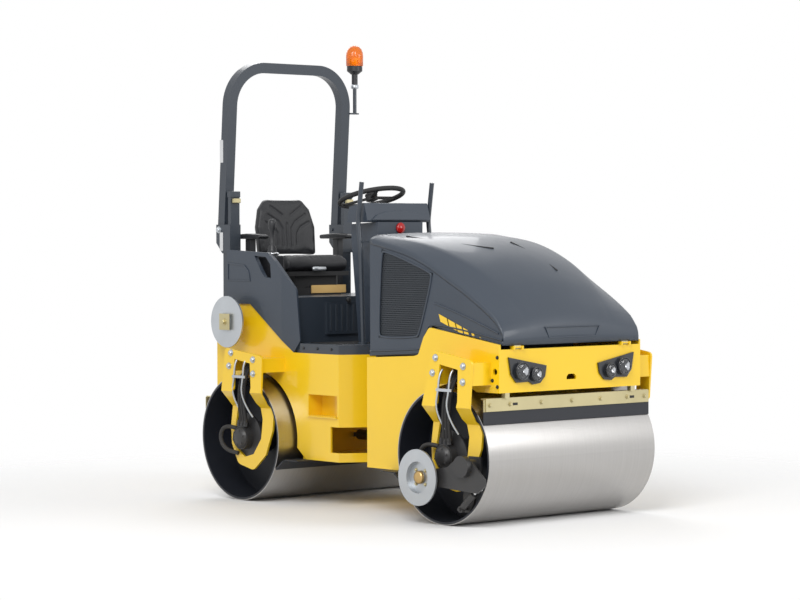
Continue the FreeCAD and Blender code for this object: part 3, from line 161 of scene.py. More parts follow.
FINISH = {
    "yellow_paint": finish("yellow_paint", (0.93, 0.60, 0.006), 0.30, coat=0.6, drift=0.05, dust=0.10),
    "grey_paint": finish("grey_paint", (0.030, 0.040, 0.055), 0.36, coat=0.25),
    "grey_plastic": finish("grey_plastic", (0.032, 0.045, 0.066), 0.38, coat=0.2, grain=900.0, bump=0.15),
    "black_steel": finish("black_steel", (0.012, 0.013, 0.016), 0.42, coat=0.1),
    "drum_steel": finish(
        "drum_steel", (0.50, 0.49, 0.48), 0.26, metallic=1.0, group=TURNED_SURFACE, grain=40.0),
    "zinc_plate": finish("zinc_plate", (0.58, 0.61, 0.64), 0.30, metallic=0.9, drift=0.25, grain=90.0),
    "yellow_zinc": finish("yellow_zinc", (0.62, 0.55, 0.32), 0.32, metallic=0.85, drift=0.3, grain=120.0),
    "seat_vinyl": finish("seat_vinyl", (0.014, 0.015, 0.018), 0.44, grain=700.0, bump=0.5),
    "black_rubber": finish("black_rubber", (0.013, 0.013, 0.014), 0.62, grain=500.0, bump=0.3),
    "amber_lens": clear_finish("amber_lens", (0.95, 0.22, 0.005), 0.12, 0.35),
    "lamp_plastic": finish("lamp_plastic", (0.016, 0.019, 0.024), 0.25, coat=0.4),
    "red_lens": clear_finish("red_lens", (0.55, 0.01, 0.01), 0.12, 0.2),
    "chrome_rod": finish("chrome_rod", (0.72, 0.73, 0.75), 0.10, metallic=1.0, drift=0.03, dust=0.0),
    "cast_engine": finish("cast_engine", (0.045, 0.048, 0.052), 0.6, grain=260.0, bump=0.6),
    "steel_mesh": finish("steel_mesh", (0.035, 0.042, 0.052), 0.34, metallic=0.3),
}
CLEAR_GLASS = clear_finish("clear_glass", (0.95, 0.96, 0.97), 0.03, 1.0)
BLANK_LABEL = finish("blank_label", (0.72, 0.73, 0.74), 0.45, dust=0.0)
BRASS = finish("brass_fitting", (0.60, 0.40, 0.16), 0.30, metallic=1.0)


def radial_mask(tree, axle, radius):
    """White outside a radius about a drum's axis, black inside it."""
    place = add(tree, "ShaderNodeTexCoord").outputs["Object"]
    offset = add(tree, "ShaderNodeVectorMath", {0: place, 1: tuple(axle)}, operation="SUBTRACT")
    flat = add(tree, "ShaderNodeVectorMath", {0: offset.outputs[0], 1: (1, 0, 1)}, operation="MULTIPLY")
    reach = add(tree, "ShaderNodeVectorMath", {0: flat.outputs[0]}, operation="LENGTH")
    outside = add(tree, "ShaderNodeMath", {0: reach.outputs["Value"], 1: radius}, operation="GREATER_THAN")
    return outside.outputs[0]


def height_mask(tree, level):
    """White above a level, black below it."""
    place = add(tree, "ShaderNodeTexCoord").outputs["Object"]
    up = add(tree, "ShaderNodeSeparateXYZ", {"Vector": place}).outputs["Z"]
    return add(tree, "ShaderNodeMath", {0: up, 1: level}, operation="GREATER_THAN").outputs[0]


def two_finishes(name, base, mask_of, inner, inner_roughness):
    """A copy of a metal finish that turns dark where the mask is black: the scraper blades' own black, and
    painted shade in the drums' cavities.
    """
    made = FINISH[base].copy()
    made.name = name
    tree = made.node_tree
    shader = tree.nodes["Principled BSDF"]
    mask = mask_of(tree)
    colour = shader.inputs["Base Color"].links[0].from_socket
    roughness = shader.inputs["Roughness"].links[0].from_socket
    mixed = add(tree, "ShaderNodeMixRGB", {"Fac": mask, "Color1": (*inner, 1), "Color2": colour})
    spread = add(tree, "ShaderNodeMapRange", {"Value": mask, "To Min": inner_roughness, "To Max": 0.30})
    metal = add(tree, "ShaderNodeMath", {
        0: mask, 1: shader.inputs["Metallic"].default_value}, operation="MULTIPLY")
    softer = add(tree, "ShaderNodeMath", {0: spread.outputs[0], 1: roughness}, operation="MAXIMUM")
    tree.links.new(mixed.outputs[0], shader.inputs["Base Color"])
    tree.links.new(softer.outputs[0], shader.inputs["Roughness"])
    tree.links.new(metal.outputs[0], shader.inputs["Metallic"])
    return made


GRILLE_PITCH = 0.013
HOLE_SHARE = 0.34


def perforated(name):
    """The grille's sheet: staggered round holes cut through by Alpha."""
    made = FINISH["steel_mesh"].copy()
    made.name = name
    tree = made.node_tree
    pitch = GRILLE_PITCH
    place = add(tree, "ShaderNodeTexCoord").outputs["Object"]
    across = add(tree, "ShaderNodeVectorMath", {0: place, 1: (1, 0, 1)}, operation="MULTIPLY").outputs[0]
    holes = []
    for shift in ((0, 0, 0), (pitch / 2, 0, pitch * 0.866)):
        moved = add(tree, "ShaderNodeVectorMath", {0: across, 1: shift}, operation="ADD").outputs[0]
        cell = add(tree, "ShaderNodeVectorMath", {
            0: moved, 1: (pitch, 1, pitch * 1.732)}, operation="MODULO").outputs[0]
        cell = add(tree, "ShaderNodeVectorMath", {
            0: cell, 1: (pitch / 2, 0, pitch * 0.866)}, operation="SUBTRACT").outputs[0]
        reach = add(tree, "ShaderNodeVectorMath", {0: cell}, operation="LENGTH").outputs["Value"]
        bar = add(tree, "ShaderNodeMath", {0: reach, 1: pitch * HOLE_SHARE}, operation="GREATER_THAN")
        holes.append(bar.outputs[0])
    solid = add(tree, "ShaderNodeMath", {0: holes[0], 1: holes[1]}, operation="MULTIPLY").outputs[0]
    tree.links.new(solid, tree.nodes["Principled BSDF"].inputs["Alpha"])
    return made


# Dark colour: the scraper blades' own black, and painted shade for the drums' shadowed cavities
BLADE_BLACK_AND_PAINTED_SHADE = (0.010, 0.012, 0.018)
DARK_ROUGHNESS = 0.5
DRUM_FACE = 0.346
for part in frame["record"]["subparts"]:
    thing = frame["nodes"][part["node"]]
    for holder in thing.material_slots:
        holder.material = FINISH[part["material_slot"]]
    if not thing.material_slots:
        thing.data.materials.append(FINISH[part["material_slot"]])
# Inside the rolling face each drum is coloured dark: painted shade for its shadowed cavity
for node_name, axle in (("front_drum", FRONT_AXLE), ("rear_drum", REAR_AXLE)):
    steel = two_finishes(
        f"{node_name}_steel", "drum_steel", lambda tree, a=axle: radial_mask(tree, a, DRUM_FACE),
        BLADE_BLACK_AND_PAINTED_SHADE, DARK_ROUGHNESS)
    for holder in frame["nodes"][node_name].material_slots:
        holder.material = steel
for node_name, level in (("front_scrapers", 0.5935), ("rear_scrapers", 0.5035)):
    bar = two_finishes(
        f"{node_name}_finish", "yellow_zinc", lambda tree, z=level: height_mask(tree, z),
        BLADE_BLACK_AND_PAINTED_SHADE, DARK_ROUGHNESS)
    for holder in frame["nodes"][node_name].material_slots:
        holder.material = bar
for holder in frame["nodes"]["hood_grilles"].material_slots:
    holder.material = perforated("perforated_sheet")


# Ways to make a piece

def piece(name, mesh, body, slot, material=None, smooth=False, bevel=0.0):
    thing = bpy.data.objects.new(name, mesh)
    scene.collection.objects.link(thing)
    mesh.materials.append(material or FINISH[slot])
    if smooth:
        mesh.polygons.foreach_set("use_smooth", [True] * len(mesh.polygons))
    if bevel:
        edge = thing.modifiers.new("edge", "BEVEL")
        edge.width = bevel
        edge.segments = 2
        edge.limit_method = "ANGLE"
    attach(thing, body)
    return thing


def from_bmesh(name, work):
    bmesh.ops.recalc_face_normals(work, faces=work.faces)
    mesh = bpy.data.meshes.new(name)
    work.to_mesh(mesh)
    work.free()
    return mesh


def placed(plane, across, up, depth):
    """A point of an outline drawn on the plane XZ or YZ, at a depth along the plane's normal."""
    if plane == "XZ":
        return Vector((across, depth, up))
    return Vector((depth, across, up))


def add_plate(work, plane, outline, low, high, holes=()):
    """Adds an outline with holes, pulled from low to high."""
    loops = [list(outline), *[list(hole) for hole in holes]]
    flat = [[placed(plane, a, b, 0.0) for a, b in loop] for loop in loops]
    corners = [corner for loop in loops for corner in loop]
    rings = [[work.verts.new(placed(plane, a, b, depth)) for a, b in corners] for depth in (low, high)]
    for triangle in tessellate_polygon(flat):
        for ring in rings:
            work.faces.new([ring[index] for index in triangle])
    first = 0
    for loop in loops:
        count = len(loop)
        for index in range(count):
            here, following = first + index, first + (index + 1) % count
            work.faces.new([rings[0][here], rings[0][following], rings[1][following], rings[1][here]])
        first += count


def add_block(work, low, high):
    made = bmesh.ops.create_cube(work, size=1.0)
    low, high = Vector(low), Vector(high)
    for vert in made["verts"]:
        vert.co = Vector([(low[i] + high[i]) / 2 + vert.co[i] * (high[i] - low[i]) for i in range(3)])


def add_lathe(work, centre, axis, profile, steps=40, ripple=0.0, ribs=0):
    """Turns (distance along the axis, radius) about an axis through the centre."""
    turn = Vector((0, 0, 1)).rotation_difference(Vector(axis)).to_matrix()
    rings = []
    for along, radius in profile:
        ring = []
        for step in range(steps):
            angle = 2 * math.pi * step / steps
            reach = radius + ripple * math.cos(ribs * angle)
            local = Vector((reach * math.cos(angle), reach * math.sin(angle), along))
            ring.append(work.verts.new(Vector(centre) + turn @ local))
        rings.append(ring)
    for lower, upper in zip(rings, rings[1:]):
        for step in range(steps):
            following = (step + 1) % steps
            work.faces.new([lower[step], lower[following], upper[following], upper[step]])
    work.faces.new(rings[0])
    work.faces.new(rings[-1])


def lathe(name, centre, axis, profile, body, slot, **look):
    shape = {key: look.pop(key) for key in ("steps", "ripple", "ribs") if key in look}
    work = bmesh.new()
    add_lathe(work, centre, axis, profile, **shape)
    return piece(name, from_bmesh(name, work), body, slot, smooth=True, **look)


def plates(name, plane, sheets, body, slot, **look):
    work = bmesh.new()
    for outline, low, high in sheets:
        add_plate(work, plane, outline, low, high)
    return piece(name, from_bmesh(name, work), body, slot, **look)


def blocks(name, limits, body, slot, **look):
    work = bmesh.new()
    for low, high in limits:
        add_block(work, low, high)
    return piece(name, from_bmesh(name, work), body, slot, **look)


def bolts(name, places, axis, radius, body, slot="zinc_plate"):
    """Hexagon heads on washers, all facing the same way."""
    work = bmesh.new()
    for place in places:
        add_lathe(work, place, axis, [(0.0, radius * 1.45), (radius * 0.25, radius * 1.4)], steps=20)
        add_lathe(work, place, axis, [
            (radius * 0.25, radius), (radius * 0.9, radius), (radius * 1.05, radius * 0.86)], steps=6)
    return piece(name, from_bmesh(name, work), body, slot)


def tubes(name, runs, radius, body, slot, material=None, closed=False):
    """Round bars or hoses on smooth lines through the given points."""
    curve = bpy.data.curves.new(name, "CURVE")
    curve.dimensions = "3D"
    curve.bevel_depth = radius
    curve.bevel_resolution = 4
    curve.resolution_u = 8
    curve.use_fill_caps = True
    for points in runs:
        spline = curve.splines.new("NURBS")
        spline.points.add(len(points) - 1)
        for point, target in zip(points, spline.points):
            target.co = (*point, 1.0)
        spline.order_u = 3
        spline.use_endpoint_u = not closed
        spline.use_cyclic_u = closed
    curve.materials.append(material or FINISH[slot])
    thing = bpy.data.objects.new(name, curve)
    scene.collection.objects.link(thing)
    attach(thing, body)
    return thing


# Hood: a smooth skin over the same stations as the solid

HOOD_STEPS = 44
SIDE_STEPS = 24
SIDE_DROP = 0.008
SIDE_INSIDE = 0.009
SIDE_OUTSIDE = 0.001
# Each ring of the nose: its x, and how far it has come down to the foot
NOSE_RINGS = ((1.184, 0.25), (1.187, 0.6), (1.187, 1.0))
# Each station: its x, shoulder, half width of the top between the bands, height there, crown
STATIONS = [
    (0.150, 1.465, 0.440, 1.485, 1.497), (0.500, 1.385, 0.412, 1.436, 1.469),
    (0.800, 1.252, 0.372, 1.335, 1.385), (1.000, 1.146, 0.336, 1.215, 1.262),
    (1.130, 1.060, 0.308, 1.090, 1.118), (1.178, 1.000, 0.300, 1.020, 1.040),
]
GRILLE = [(0.245, 1.411), (0.656, 1.285), (0.542, 0.948), (0.219, 0.938)]
SILL = [(0.150, 0.838), (0.527, 0.858), (0.557, 0.867), (0.598, 0.955), (0.648, 1.012), (1.178, 0.925)]


def station_at(x):
    """Shoulder, band and crown at x, on a smooth curve through the stations."""
    last = len(STATIONS) - 1
    index = max(i for i in range(last) if STATIONS[i][0] <= x + 1e-9)
    before, here = STATIONS[max(index - 1, 0)], STATIONS[index]
    after, beyond = STATIONS[index + 1], STATIONS[min(index + 2, last)]
    span = after[0] - here[0]
    share = (x - here[0]) / span
    values = []
    for k in range(1, 5):
        slope_in = (after[k] - before[k]) / max(after[0] - before[0], 1e-6) * span
        slope_out = (beyond[k] - here[k]) / max(beyond[0] - here[0], 1e-6) * span
        a = 2 * here[k] - 2 * after[k] + slope_in + slope_out
        b = -3 * here[k] + 3 * after[k] - 2 * slope_in - slope_out
        values.append(a * share ** 3 + b * share ** 2 + slope_in * share + here[k])
    return values


def crown_at(x, y):
    """Height of the hood's top between its two chamfer bands."""
    _, band, band_height, crown = station_at(x)
    return crown - (crown - band_height) * (abs(y) / band) ** 2


def hood_profile(x):
    shoulder, band, band_height, crown = station_at(x)
    soft = 0.012
    run = Vector((HOOD_HALF - band, shoulder - band_height)).normalized()
    half = [
        (HOOD_HALF, shoulder - 0.030), (HOOD_HALF, shoulder - soft), (HOOD_HALF - 0.003, shoulder - 0.003),
        (HOOD_HALF - run.x * soft, shoulder - run.y * soft),
        (band + run.x * soft, band_height + run.y * soft), (band, band_height - 0.001),
    ]
    for share in (0.94, 0.84, 0.68, 0.5, 0.32, 0.16, 0.0):
        half.append((band * share, crown_at(x, band * share)))
    return half + [(-y, z) for y, z in reversed(half[:-1])]


def make_hood():
    work = bmesh.new()
    rings = []
    for step in range(HOOD_STEPS + 1):
        x = HOOD_BACK + (NOSE_X - HOOD_BACK) * step / HOOD_STEPS
        rings.append([work.verts.new((x, y, z)) for y, z in hood_profile(x)])
    nose = hood_profile(NOSE_X)
    for x, drop in NOSE_RINGS:
        ring = [(y, z + (HOOD_FOOT - z) * drop) for y, z in nose]
        rings.append([work.verts.new((x, y, z)) for y, z in ring])
    for lower, upper in zip(rings, rings[1:]):
        for index in range(len(lower) - 1):
            work.faces.new([lower[index], lower[index + 1], upper[index + 1], upper[index]])
    skin = piece("hood_skin", from_bmesh("hood_skin", work), "hood", "grey_plastic", smooth=True)
    wall = skin.modifiers.new("wall", "SOLIDIFY")
    wall.thickness = 0.008
    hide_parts("hood_shell")

    shoulder_line = []
    for step in range(SIDE_STEPS, -1, -1):
        x = HOOD_BACK + (NOSE_X - HOOD_BACK) * step / SIDE_STEPS
        shoulder_line.append((x, station_at(x)[0] - SIDE_DROP))
    work = bmesh.new()
    for _, side in SIDES:
        inside, outside = side * (HOOD_HALF - SIDE_INSIDE), side * (HOOD_HALF - SIDE_OUTSIDE)
        add_plate(work, "XZ", [*SILL, *shoulder_line], inside, outside, holes=[GRILLE])
    piece("hood_sides", from_bmesh("hood_sides", work), "hood", "grey_plastic")

    out = HOOD_HALF
    runs, frames, ridges = [], [], []
    for _, side in SIDES:
        runs.append([(x, side * out, z + 0.006) for x, z in SILL])
        runs.append([(x, side * out, z + 0.026) for x, z in SILL])
        frames.append([(x, side * out, z) for x, z in rounded(GRILLE)])
        ridges.append([(0.665, side * out, 1.130), (0.90, side * out, 1.075), (1.150, side * out, 0.985)])
    tubes("hood_edge_lips", runs, 0.0045, "hood", "grey_plastic")
    tubes("grille_frames", frames, 0.0055, "hood", "grey_plastic", closed=True)
    tubes("hood_side_ridges", ridges, 0.005, "hood", "grey_plastic")

    # Black lines along the crown where the hood's two top slots are: painted shade for the shadowed gaps
    slots = []
    for route in ([(0.30, -0.36), (0.60, -0.27), (0.72, -0.12)], [(0.62, 0.10), (0.78, 0.10), (0.95, 0.12)]):
        slots.append([(x, y, crown_at(x, y) + 0.0005) for x, y in route])
    tubes("hood_slot_shade", slots, 0.006, "hood", "black_rubber")
    hinge = []
    for _, side in SIDES:
        low, high = sorted((side * 0.366, side * 0.414))
        hinge.append(((1.172, low, 0.908), (1.184, high, 0.950)))
    blocks("hood_hinge_leaves", hinge, "hood", "yellow_zinc", bevel=0.001)
    plaque = [(-0.20, 1.015), (0.20, 1.015), (0.17, 0.955), (-0.17, 0.955)]
    inner = [(-0.192, 1.009), (0.192, 1.009), (0.164, 0.961), (-0.164, 0.961)]
    work = bmesh.new()
    add_plate(work, "YZ", plaque, 1.186, 1.190, holes=[inner])
    piece("nose_plaque_rim", from_bmesh("nose_plaque_rim", work), "hood", "grey_plastic", bevel=0.001)
    stripes = []
    for _, side in SIDES:
        for number, width in enumerate((0.07, 0.07, 0.05, 0.035, 0.02, 0.012)):
            x = 0.70 + number * 0.062
            z = 1.075 - number * 0.022
            mark = [(x, z), (x + width, z - width * 0.35), (x + width + 0.014, z - width * 0.35 - 0.04),
                    (x + 0.014, z - 0.04)]
            low, high = sorted((side * out, side * (out + 0.0012)))
            stripes.append((mark, low, high))
    plates("hood_side_stripes", "XZ", stripes, "hood", "yellow_paint")


def rounded(points, share=0.06):
    """Each corner of a closed outline doubled, so that a smooth line keeps to its sides."""
    softened = []
    for before, here, after in zip([points[-1], *points[:-1]], points, [*points[1:], points[0]]):
        softened.append(tuple(h + (b - h) * share for h, b in zip(here, before)))
        softened.append(tuple(h + (a - h) * share for h, a in zip(here, after)))
    return softened


# Seat

PUFF_FRAMES = 20


def pad_mesh(name, outline, plane, low, high, edge, voxel=0.006):
    """A soft block: an outline pulled through, rounded, and remeshed evenly."""
    work = bmesh.new()
    add_plate(work, plane, outline, low, high)
    block = bpy.data.objects.new(name, from_bmesh(name, work))
    scene.collection.objects.link(block)
    rounding = block.modifiers.new("rounding", "BEVEL")
    rounding.width = edge
    rounding.segments = 5
    rounding.limit_method = "ANGLE"
    even = block.modifiers.new("even", "REMESH")
    even.mode = "VOXEL"
    even.voxel_size = voxel
    graph = bpy.context.evaluated_depsgraph_get()
    mesh = bpy.data.meshes.new_from_object(block.evaluated_get(graph))
    mesh.name = name
    bpy.data.objects.remove(block)
    return mesh


def inflate(pad, pressure, limit):
    """Swells a pad like stuffed cloth and keeps each point within the limit of where it was."""
    before = [vert.co.copy() for vert in pad.data.vertices]
    cloth = pad.modifiers.new("cloth", "CLOTH")
    cloth.settings.use_pressure = True
    cloth.settings.uniform_pressure_force = pressure
    cloth.settings.effector_weights.gravity = 0.0
    cloth.settings.quality = 5
    cloth.point_cache.frame_start = 1
    cloth.point_cache.frame_end = PUFF_FRAMES
    for number in range(1, PUFF_FRAMES + 1):
        scene.frame_set(number)
    graph = bpy.context.evaluated_depsgraph_get()
    swollen = pad.evaluated_get(graph).to_mesh()
    after = [vert.co.copy() for vert in swollen.vertices]
    pad.evaluated_get(graph).to_mesh_clear()
    pad.modifiers.remove(cloth)
    for vert, old, new in zip(pad.data.vertices, before, after):
        move = new - old
        if move.length > limit:
            move = move.normalized() * limit
        vert.co = old + move
    scene.frame_set(1)


def press_channels(pad, lines, read, facing, depth=0.006, width=0.006):
    """Sinks sewn channels into the side of a pad that faces a direction."""
    mesh = pad.data
    heading = Vector(facing)
    normals = [vert.normal.copy() for vert in mesh.vertices]
    for vert, normal in zip(mesh.vertices, normals):
        if normal.dot(heading) < 0.3:
            continue
        here = Vector(read(vert.co))
        nearest = 1.0
        for line in lines:
            for start, end in zip(line, line[1:]):
                start, end = Vector(start), Vector(end)
                run = end - start
                share = max(0.0, min(1.0, (here - start).dot(run) / run.length_squared))
                nearest = min(nearest, (here - start - run * share).length)
        vert.co -= normal * depth * math.exp(-((nearest / width) ** 2))


def make_seat():
    cushion_side = [
        (-1.195, 1.284), (-1.195, 1.340), (-0.925, 1.360), (-0.872, 1.338), (-0.878, 1.284),
    ]
    mesh = pad_mesh("seat_cushion_pad", cushion_side, "XZ", -0.230, 0.230, 0.022)
    cushion = piece("seat_cushion_pad", mesh, "rear_frame", "seat_vinyl", smooth=True)
    inflate(cushion, 4.0, 0.010)
    cushion.data.update()
    seams = [[(-1.16, -0.15), (-0.93, -0.15)], [(-1.16, 0.15), (-0.93, 0.15)],
             [(-1.05, -0.15), (-1.05, 0.15)], [(-0.96, -0.15), (-0.96, 0.15)]]
    press_channels(cushion, seams, lambda co: (co.x, co.y), (0, 0, 1))
    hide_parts("seat_cushion")

    outline = [(-0.215, 1.365), (0.215, 1.365), (0.220, 1.530), (0.190, 1.640), (0.140, 1.695),
               (-0.140, 1.695), (-0.190, 1.640), (-0.220, 1.530)]
    mesh = pad_mesh("seat_back_pad", outline, "YZ", -0.026, 0.026, 0.020)
    for vert in mesh.vertices:
        lean = -1.187 - (vert.co.z - 1.352) * 0.10
        wing = max(0.0, abs(vert.co.y) - 0.11) / 0.11
        vert.co.x += lean + 0.016 * wing * wing
    back = piece("seat_back_pad", mesh, "rear_frame", "seat_vinyl", smooth=True)
    inflate(back, 4.0, 0.008)
    back.data.update()
    channels = [[(0.0, 1.42), (0.0, 1.55)]]
    for side in (1, -1):
        channels += [
            [(side * 0.030, 1.600), (side * 0.120, 1.655)],
            [(side * 0.032, 1.420), (side * 0.034, 1.520), (side * 0.060, 1.560), (side * 0.140, 1.605)],
            [(side * 0.070, 1.430), (side * 0.074, 1.495), (side * 0.100, 1.530), (side * 0.160, 1.560)],
        ]
    press_channels(back, channels, lambda co: (co.y, co.z), (1, 0, 0))
    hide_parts("seat_back")
    for pad in (cushion, back):
        pad.modifiers.new("finer", "SUBSURF").render_levels = 1

    stems = []
    for label, side in SIDES:
        low, high = sorted((side * 0.288, side * 0.362))
        outline = [
            (-1.232, 1.462), (-1.232, 1.486), (-1.10, 1.494),
            (-0.985, 1.488), (-0.968, 1.474), (-0.985, 1.462),
        ]
        mesh = pad_mesh(f"armrest_pad_{label}", outline, "XZ", low, high, 0.010)
        rest = piece(f"armrest_pad_{label}", mesh, "rear_frame", "seat_vinyl", smooth=True)
        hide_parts("armrests")
        low, high = sorted((side * 0.305, side * 0.345))
        stems.append(((-1.125, low, 1.141), (-1.075, high, 1.463)))
    blocks("armrest_stems", stems, "rear_frame", "black_steel", bevel=0.004)
    lathe("seat_height_handle", (-0.853, -0.02, 1.290), (0, 1, 0), [
        (-0.050, 0.006), (-0.044, 0.012), (0.044, 0.012), (0.050, 0.006)], "rear_frame", "zinc_plate")
    blocks("suspension_plate", [((-0.882, -0.06, 1.150), (-0.876, 0.20, 1.196))], "rear_frame", "yellow_zinc",
           material=BRASS, bevel=0.001)


def make_controls():
    blocks("lever_console", [((-0.900, -0.445, 1.141), (-0.750, -0.355, 1.370))], "rear_frame", "black_steel",
           bevel=0.010)
    lever = lathe("travel_joystick", (-0.805, -0.400, 1.370), (0, 0, 1), [
        (0.000, 0.036), (0.010, 0.036), (0.012, 0.031), (0.026, 0.028), (0.030, 0.024), (0.038, 0.026),
        (0.044, 0.020), (0.052, 0.022), (0.060, 0.011), (0.135, 0.012), (0.150, 0.020), (0.185, 0.024),
        (0.203, 0.017), (0.205, 0.004)], "rear_frame", "black_steel")
    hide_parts("travel_lever")
    lathe("joystick_bezel", (-0.805, -0.400, 1.372), (0, 0, 1), [
        (0.0, 0.036), (0.010, 0.040), (0.014, 0.037), (0.012, 0.032)], "rear_frame", "chrome_rod")
    lip = [(-0.205, 1.566), (0.205, 1.566), (0.16, 1.596), (0.09, 1.614), (0.0, 1.620), (-0.09, 1.614),
           (-0.16, 1.596)]
    arc = plates("dash_lip", "YZ", [(lip, 0.0, 0.010)], "rear_frame", "grey_plastic", bevel=0.003)
    for vert in arc.data.vertices:
        vert.co.x += -0.172 - (vert.co.z - 1.560) * 0.30
    lathe("dash_lamp", (-0.168, 0.0, 1.522), (1, 0, 0), [
        (0.0, 0.030), (0.010, 0.030), (0.018, 0.022), (0.022, 0.004)], "rear_frame", "red_lens")
    tilt = math.radians(16)
    axis = (-math.sin(tilt), 0, math.cos(tilt))
    lathe("wheel_hub_cap", (-0.410, 0.0, 1.695), axis, [
        (0.010, 0.036), (0.020, 0.034), (0.026, 0.022), (0.028, 0.004)], "steering_wheel", "black_rubber")


# Roll-over bar and beacon

CHEEK_FACE = 0.459
LEG_FACE = 0.450
LABEL_THICK = 0.001


def make_rops_details():
    pins, sleeves, lower_labels, upper_labels, nuts = [], [], [], [], []
    for _, side in SIDES:
        low, high = sorted((side * 0.395, side * 0.445))
        pins.append(((-1.118, low, 1.668), (-1.098, high, 1.694)))
        low, high = sorted((side * 0.386, side * 0.454))
        sleeves.append(((-1.152, low, 1.700), (-1.114, high, 1.735)))
        low, high = sorted((side * CHEEK_FACE, side * (CHEEK_FACE + LABEL_THICK)))
        lower_labels.append(((-1.215, low, 1.395), (-1.185, high, 1.500)))
        low, high = sorted((side * LEG_FACE, side * (LEG_FACE + LABEL_THICK)))
        upper_labels.append(((-1.222, low, 1.900), (-1.192, high, 2.030)))
        nuts.append((-1.222, side * CHEEK_FACE, 1.515))
    blocks("latch_pins", pins, "rear_frame", "yellow_zinc", bevel=0.003)
    blocks("post_sleeves", sleeves, "rear_frame", "grey_paint", bevel=0.003)
    blocks("post_labels", lower_labels, "rear_frame", "zinc_plate", material=BLANK_LABEL)
    blocks("hoop_labels", upper_labels, "rops_hoop", "zinc_plate", material=BLANK_LABEL)
    bolts("pivot_nuts_left", [nuts[0]], (0, 1, 0), 0.014, "rear_frame")
    bolts("pivot_nuts_right", [nuts[1]], (0, -1, 0), 0.014, "rear_frame")
    lens = lathe("beacon_glass", (-1.150, 0.500, 2.488), (0, 0, 1), [
        (0.000, 0.050), (0.060, 0.0505), (0.080, 0.048), (0.100, 0.040), (0.115, 0.026), (0.122, 0.006)],
        "rops_hoop", "amber_lens", steps=96, ripple=0.0007, ribs=24)
    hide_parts("beacon_lens")
    lathe("beacon_clamp", (-1.150, 0.500, 2.352), (0, 0, 1), [
        (0.0, 0.018), (0.004, 0.023), (0.022, 0.023), (0.026, 0.018)], "rops_hoop", "zinc_plate")


# Running gear

BRACKET_BOLTS = {
    "front": [(0.861, 0.860), (0.837, 0.782), (1.069, 0.823), (1.066, 0.743)],
    "rear": [(-0.853, 0.828), (-0.872, 0.754), (-0.654, 0.796), (-0.654, 0.718)],
}
CAP_BOLT_REACH = 0.042
CAP_BOLT_FACE = 0.612


def make_running_gear():
    for end, axle, body in (("front", FRONT_AXLE, "front_frame"), ("rear", REAR_AXLE, "rear_frame")):
        for label, side in SIDES:
            out = side * (BRACKET_FACE + 0.001)
            bolts(f"{end}_bracket_bolts_{label}", [(x, out, z) for x, z in BRACKET_BOLTS[end]],
                  (0, side, 0), 0.013, body)
            x = axle.x + (0.045 if end == "front" else 0.040)
            rods = []
            for shift in (0.0, 0.080):
                rods.append([
                    (x + shift, side * 0.640, 0.800), (x + shift, side * 0.663, 0.780),
                    (x + shift - 0.008, side * 0.664, 0.690), (x + shift - 0.045, side * 0.650, 0.610),
                    (x + shift - 0.040, side * 0.612, 0.520), (x + shift - 0.020, side * 0.585, 0.470),
                ])
            tubes(f"{end}_guard_rods_{label}", rods, 0.0055, body, "zinc_plate")
            low, high = sorted((side * 0.664, side * 0.670))
            blocks(f"{end}_guard_strap_{label}", [((x - 0.020, low, 0.690), (x + 0.095, high, 0.705))],
                   body, "zinc_plate", bevel=0.001)
            hoses = []
            for number, shift in enumerate((0.012, 0.034, 0.056)):
                hoses.append([
                    (x + shift, side * 0.560, 0.800), (x + shift, side * (0.600 + 0.006 * number), 0.740),
                    (x + shift - 0.010, side * 0.632, 0.660), (x + shift - 0.030, side * 0.622, 0.570),
                    (x + shift - 0.050, side * 0.600, 0.490), (axle.x - 0.02 + shift, side * 0.580, 0.430),
                ])
            tubes(f"{end}_motor_hoses_{label}", hoses, 0.0095, body, "black_rubber")
            loop = [
                (axle.x - 0.050, side * 0.585, 0.400), (axle.x - 0.120, side * 0.612, 0.420),
                (axle.x - 0.165, side * 0.618, 0.350), (axle.x - 0.120, side * 0.610, 0.270),
                (axle.x - 0.040, side * 0.580, 0.260),
            ]
            tubes(f"{end}_return_hose_{label}", [loop], 0.012, body, "black_rubber")
            nose = (axle.x, side * 0.590, axle.z)
            lathe(f"{end}_motor_cap_{label}", nose, (0, side, 0), [
                (0.0, 0.060), (0.012, 0.060), (0.016, 0.050), (0.024, 0.048), (0.028, 0.030), (0.030, 0.006)],
                body, "black_steel")
            ring = []
            for turn in range(6):
                angle = math.radians(60 * turn + 15)
                ring.append((
                    axle.x + CAP_BOLT_REACH * math.cos(angle), side * CAP_BOLT_FACE,
                    axle.z + CAP_BOLT_REACH * math.sin(angle)))
            bolts(f"{end}_motor_bolts_{label}", ring, (0, side, 0), 0.006, body, "black_steel")
            fittings = bmesh.new()
            for shift in (-0.030, 0.0, 0.030):
                add_lathe(fittings, (axle.x + shift, side * 0.582, 0.412), (0, 0, 1), [
                    (0.0, 0.013), (0.014, 0.013), (0.016, 0.010), (0.034, 0.010)], steps=6)
            piece(f"{end}_motor_fittings_{label}", from_bmesh(f"{end}_motor_fittings_{label}", fittings),
                  body, "black_steel")
    bolts("front_scraper_bolts", [(1.1635, y, 0.627) for y in (-0.56, -0.42, -0.20, 0.02, 0.23, 0.43, 0.56)],
          (1, 0, 0), 0.009, "front_frame", "yellow_zinc")
    # Thin black patches on the bar where its slots are: painted shade for the shadowed holes
    slots = [((1.163, y + 0.018, 0.620), (1.1645, y + 0.050, 0.633)) for y in (-0.42, 0.43)]
    blocks("scraper_slot_shade", slots, "front_frame", "black_rubber")


HUB_FACE = (0.752, -0.690, 0.243)
HUB_BOLT_FACE = -0.6640
HUB_BOLT_REACH = 0.050
SPARE_FACE = (-0.996, -0.592, 0.996)
SPARE_HALF = 0.046
SPARE_THICK = 0.0055


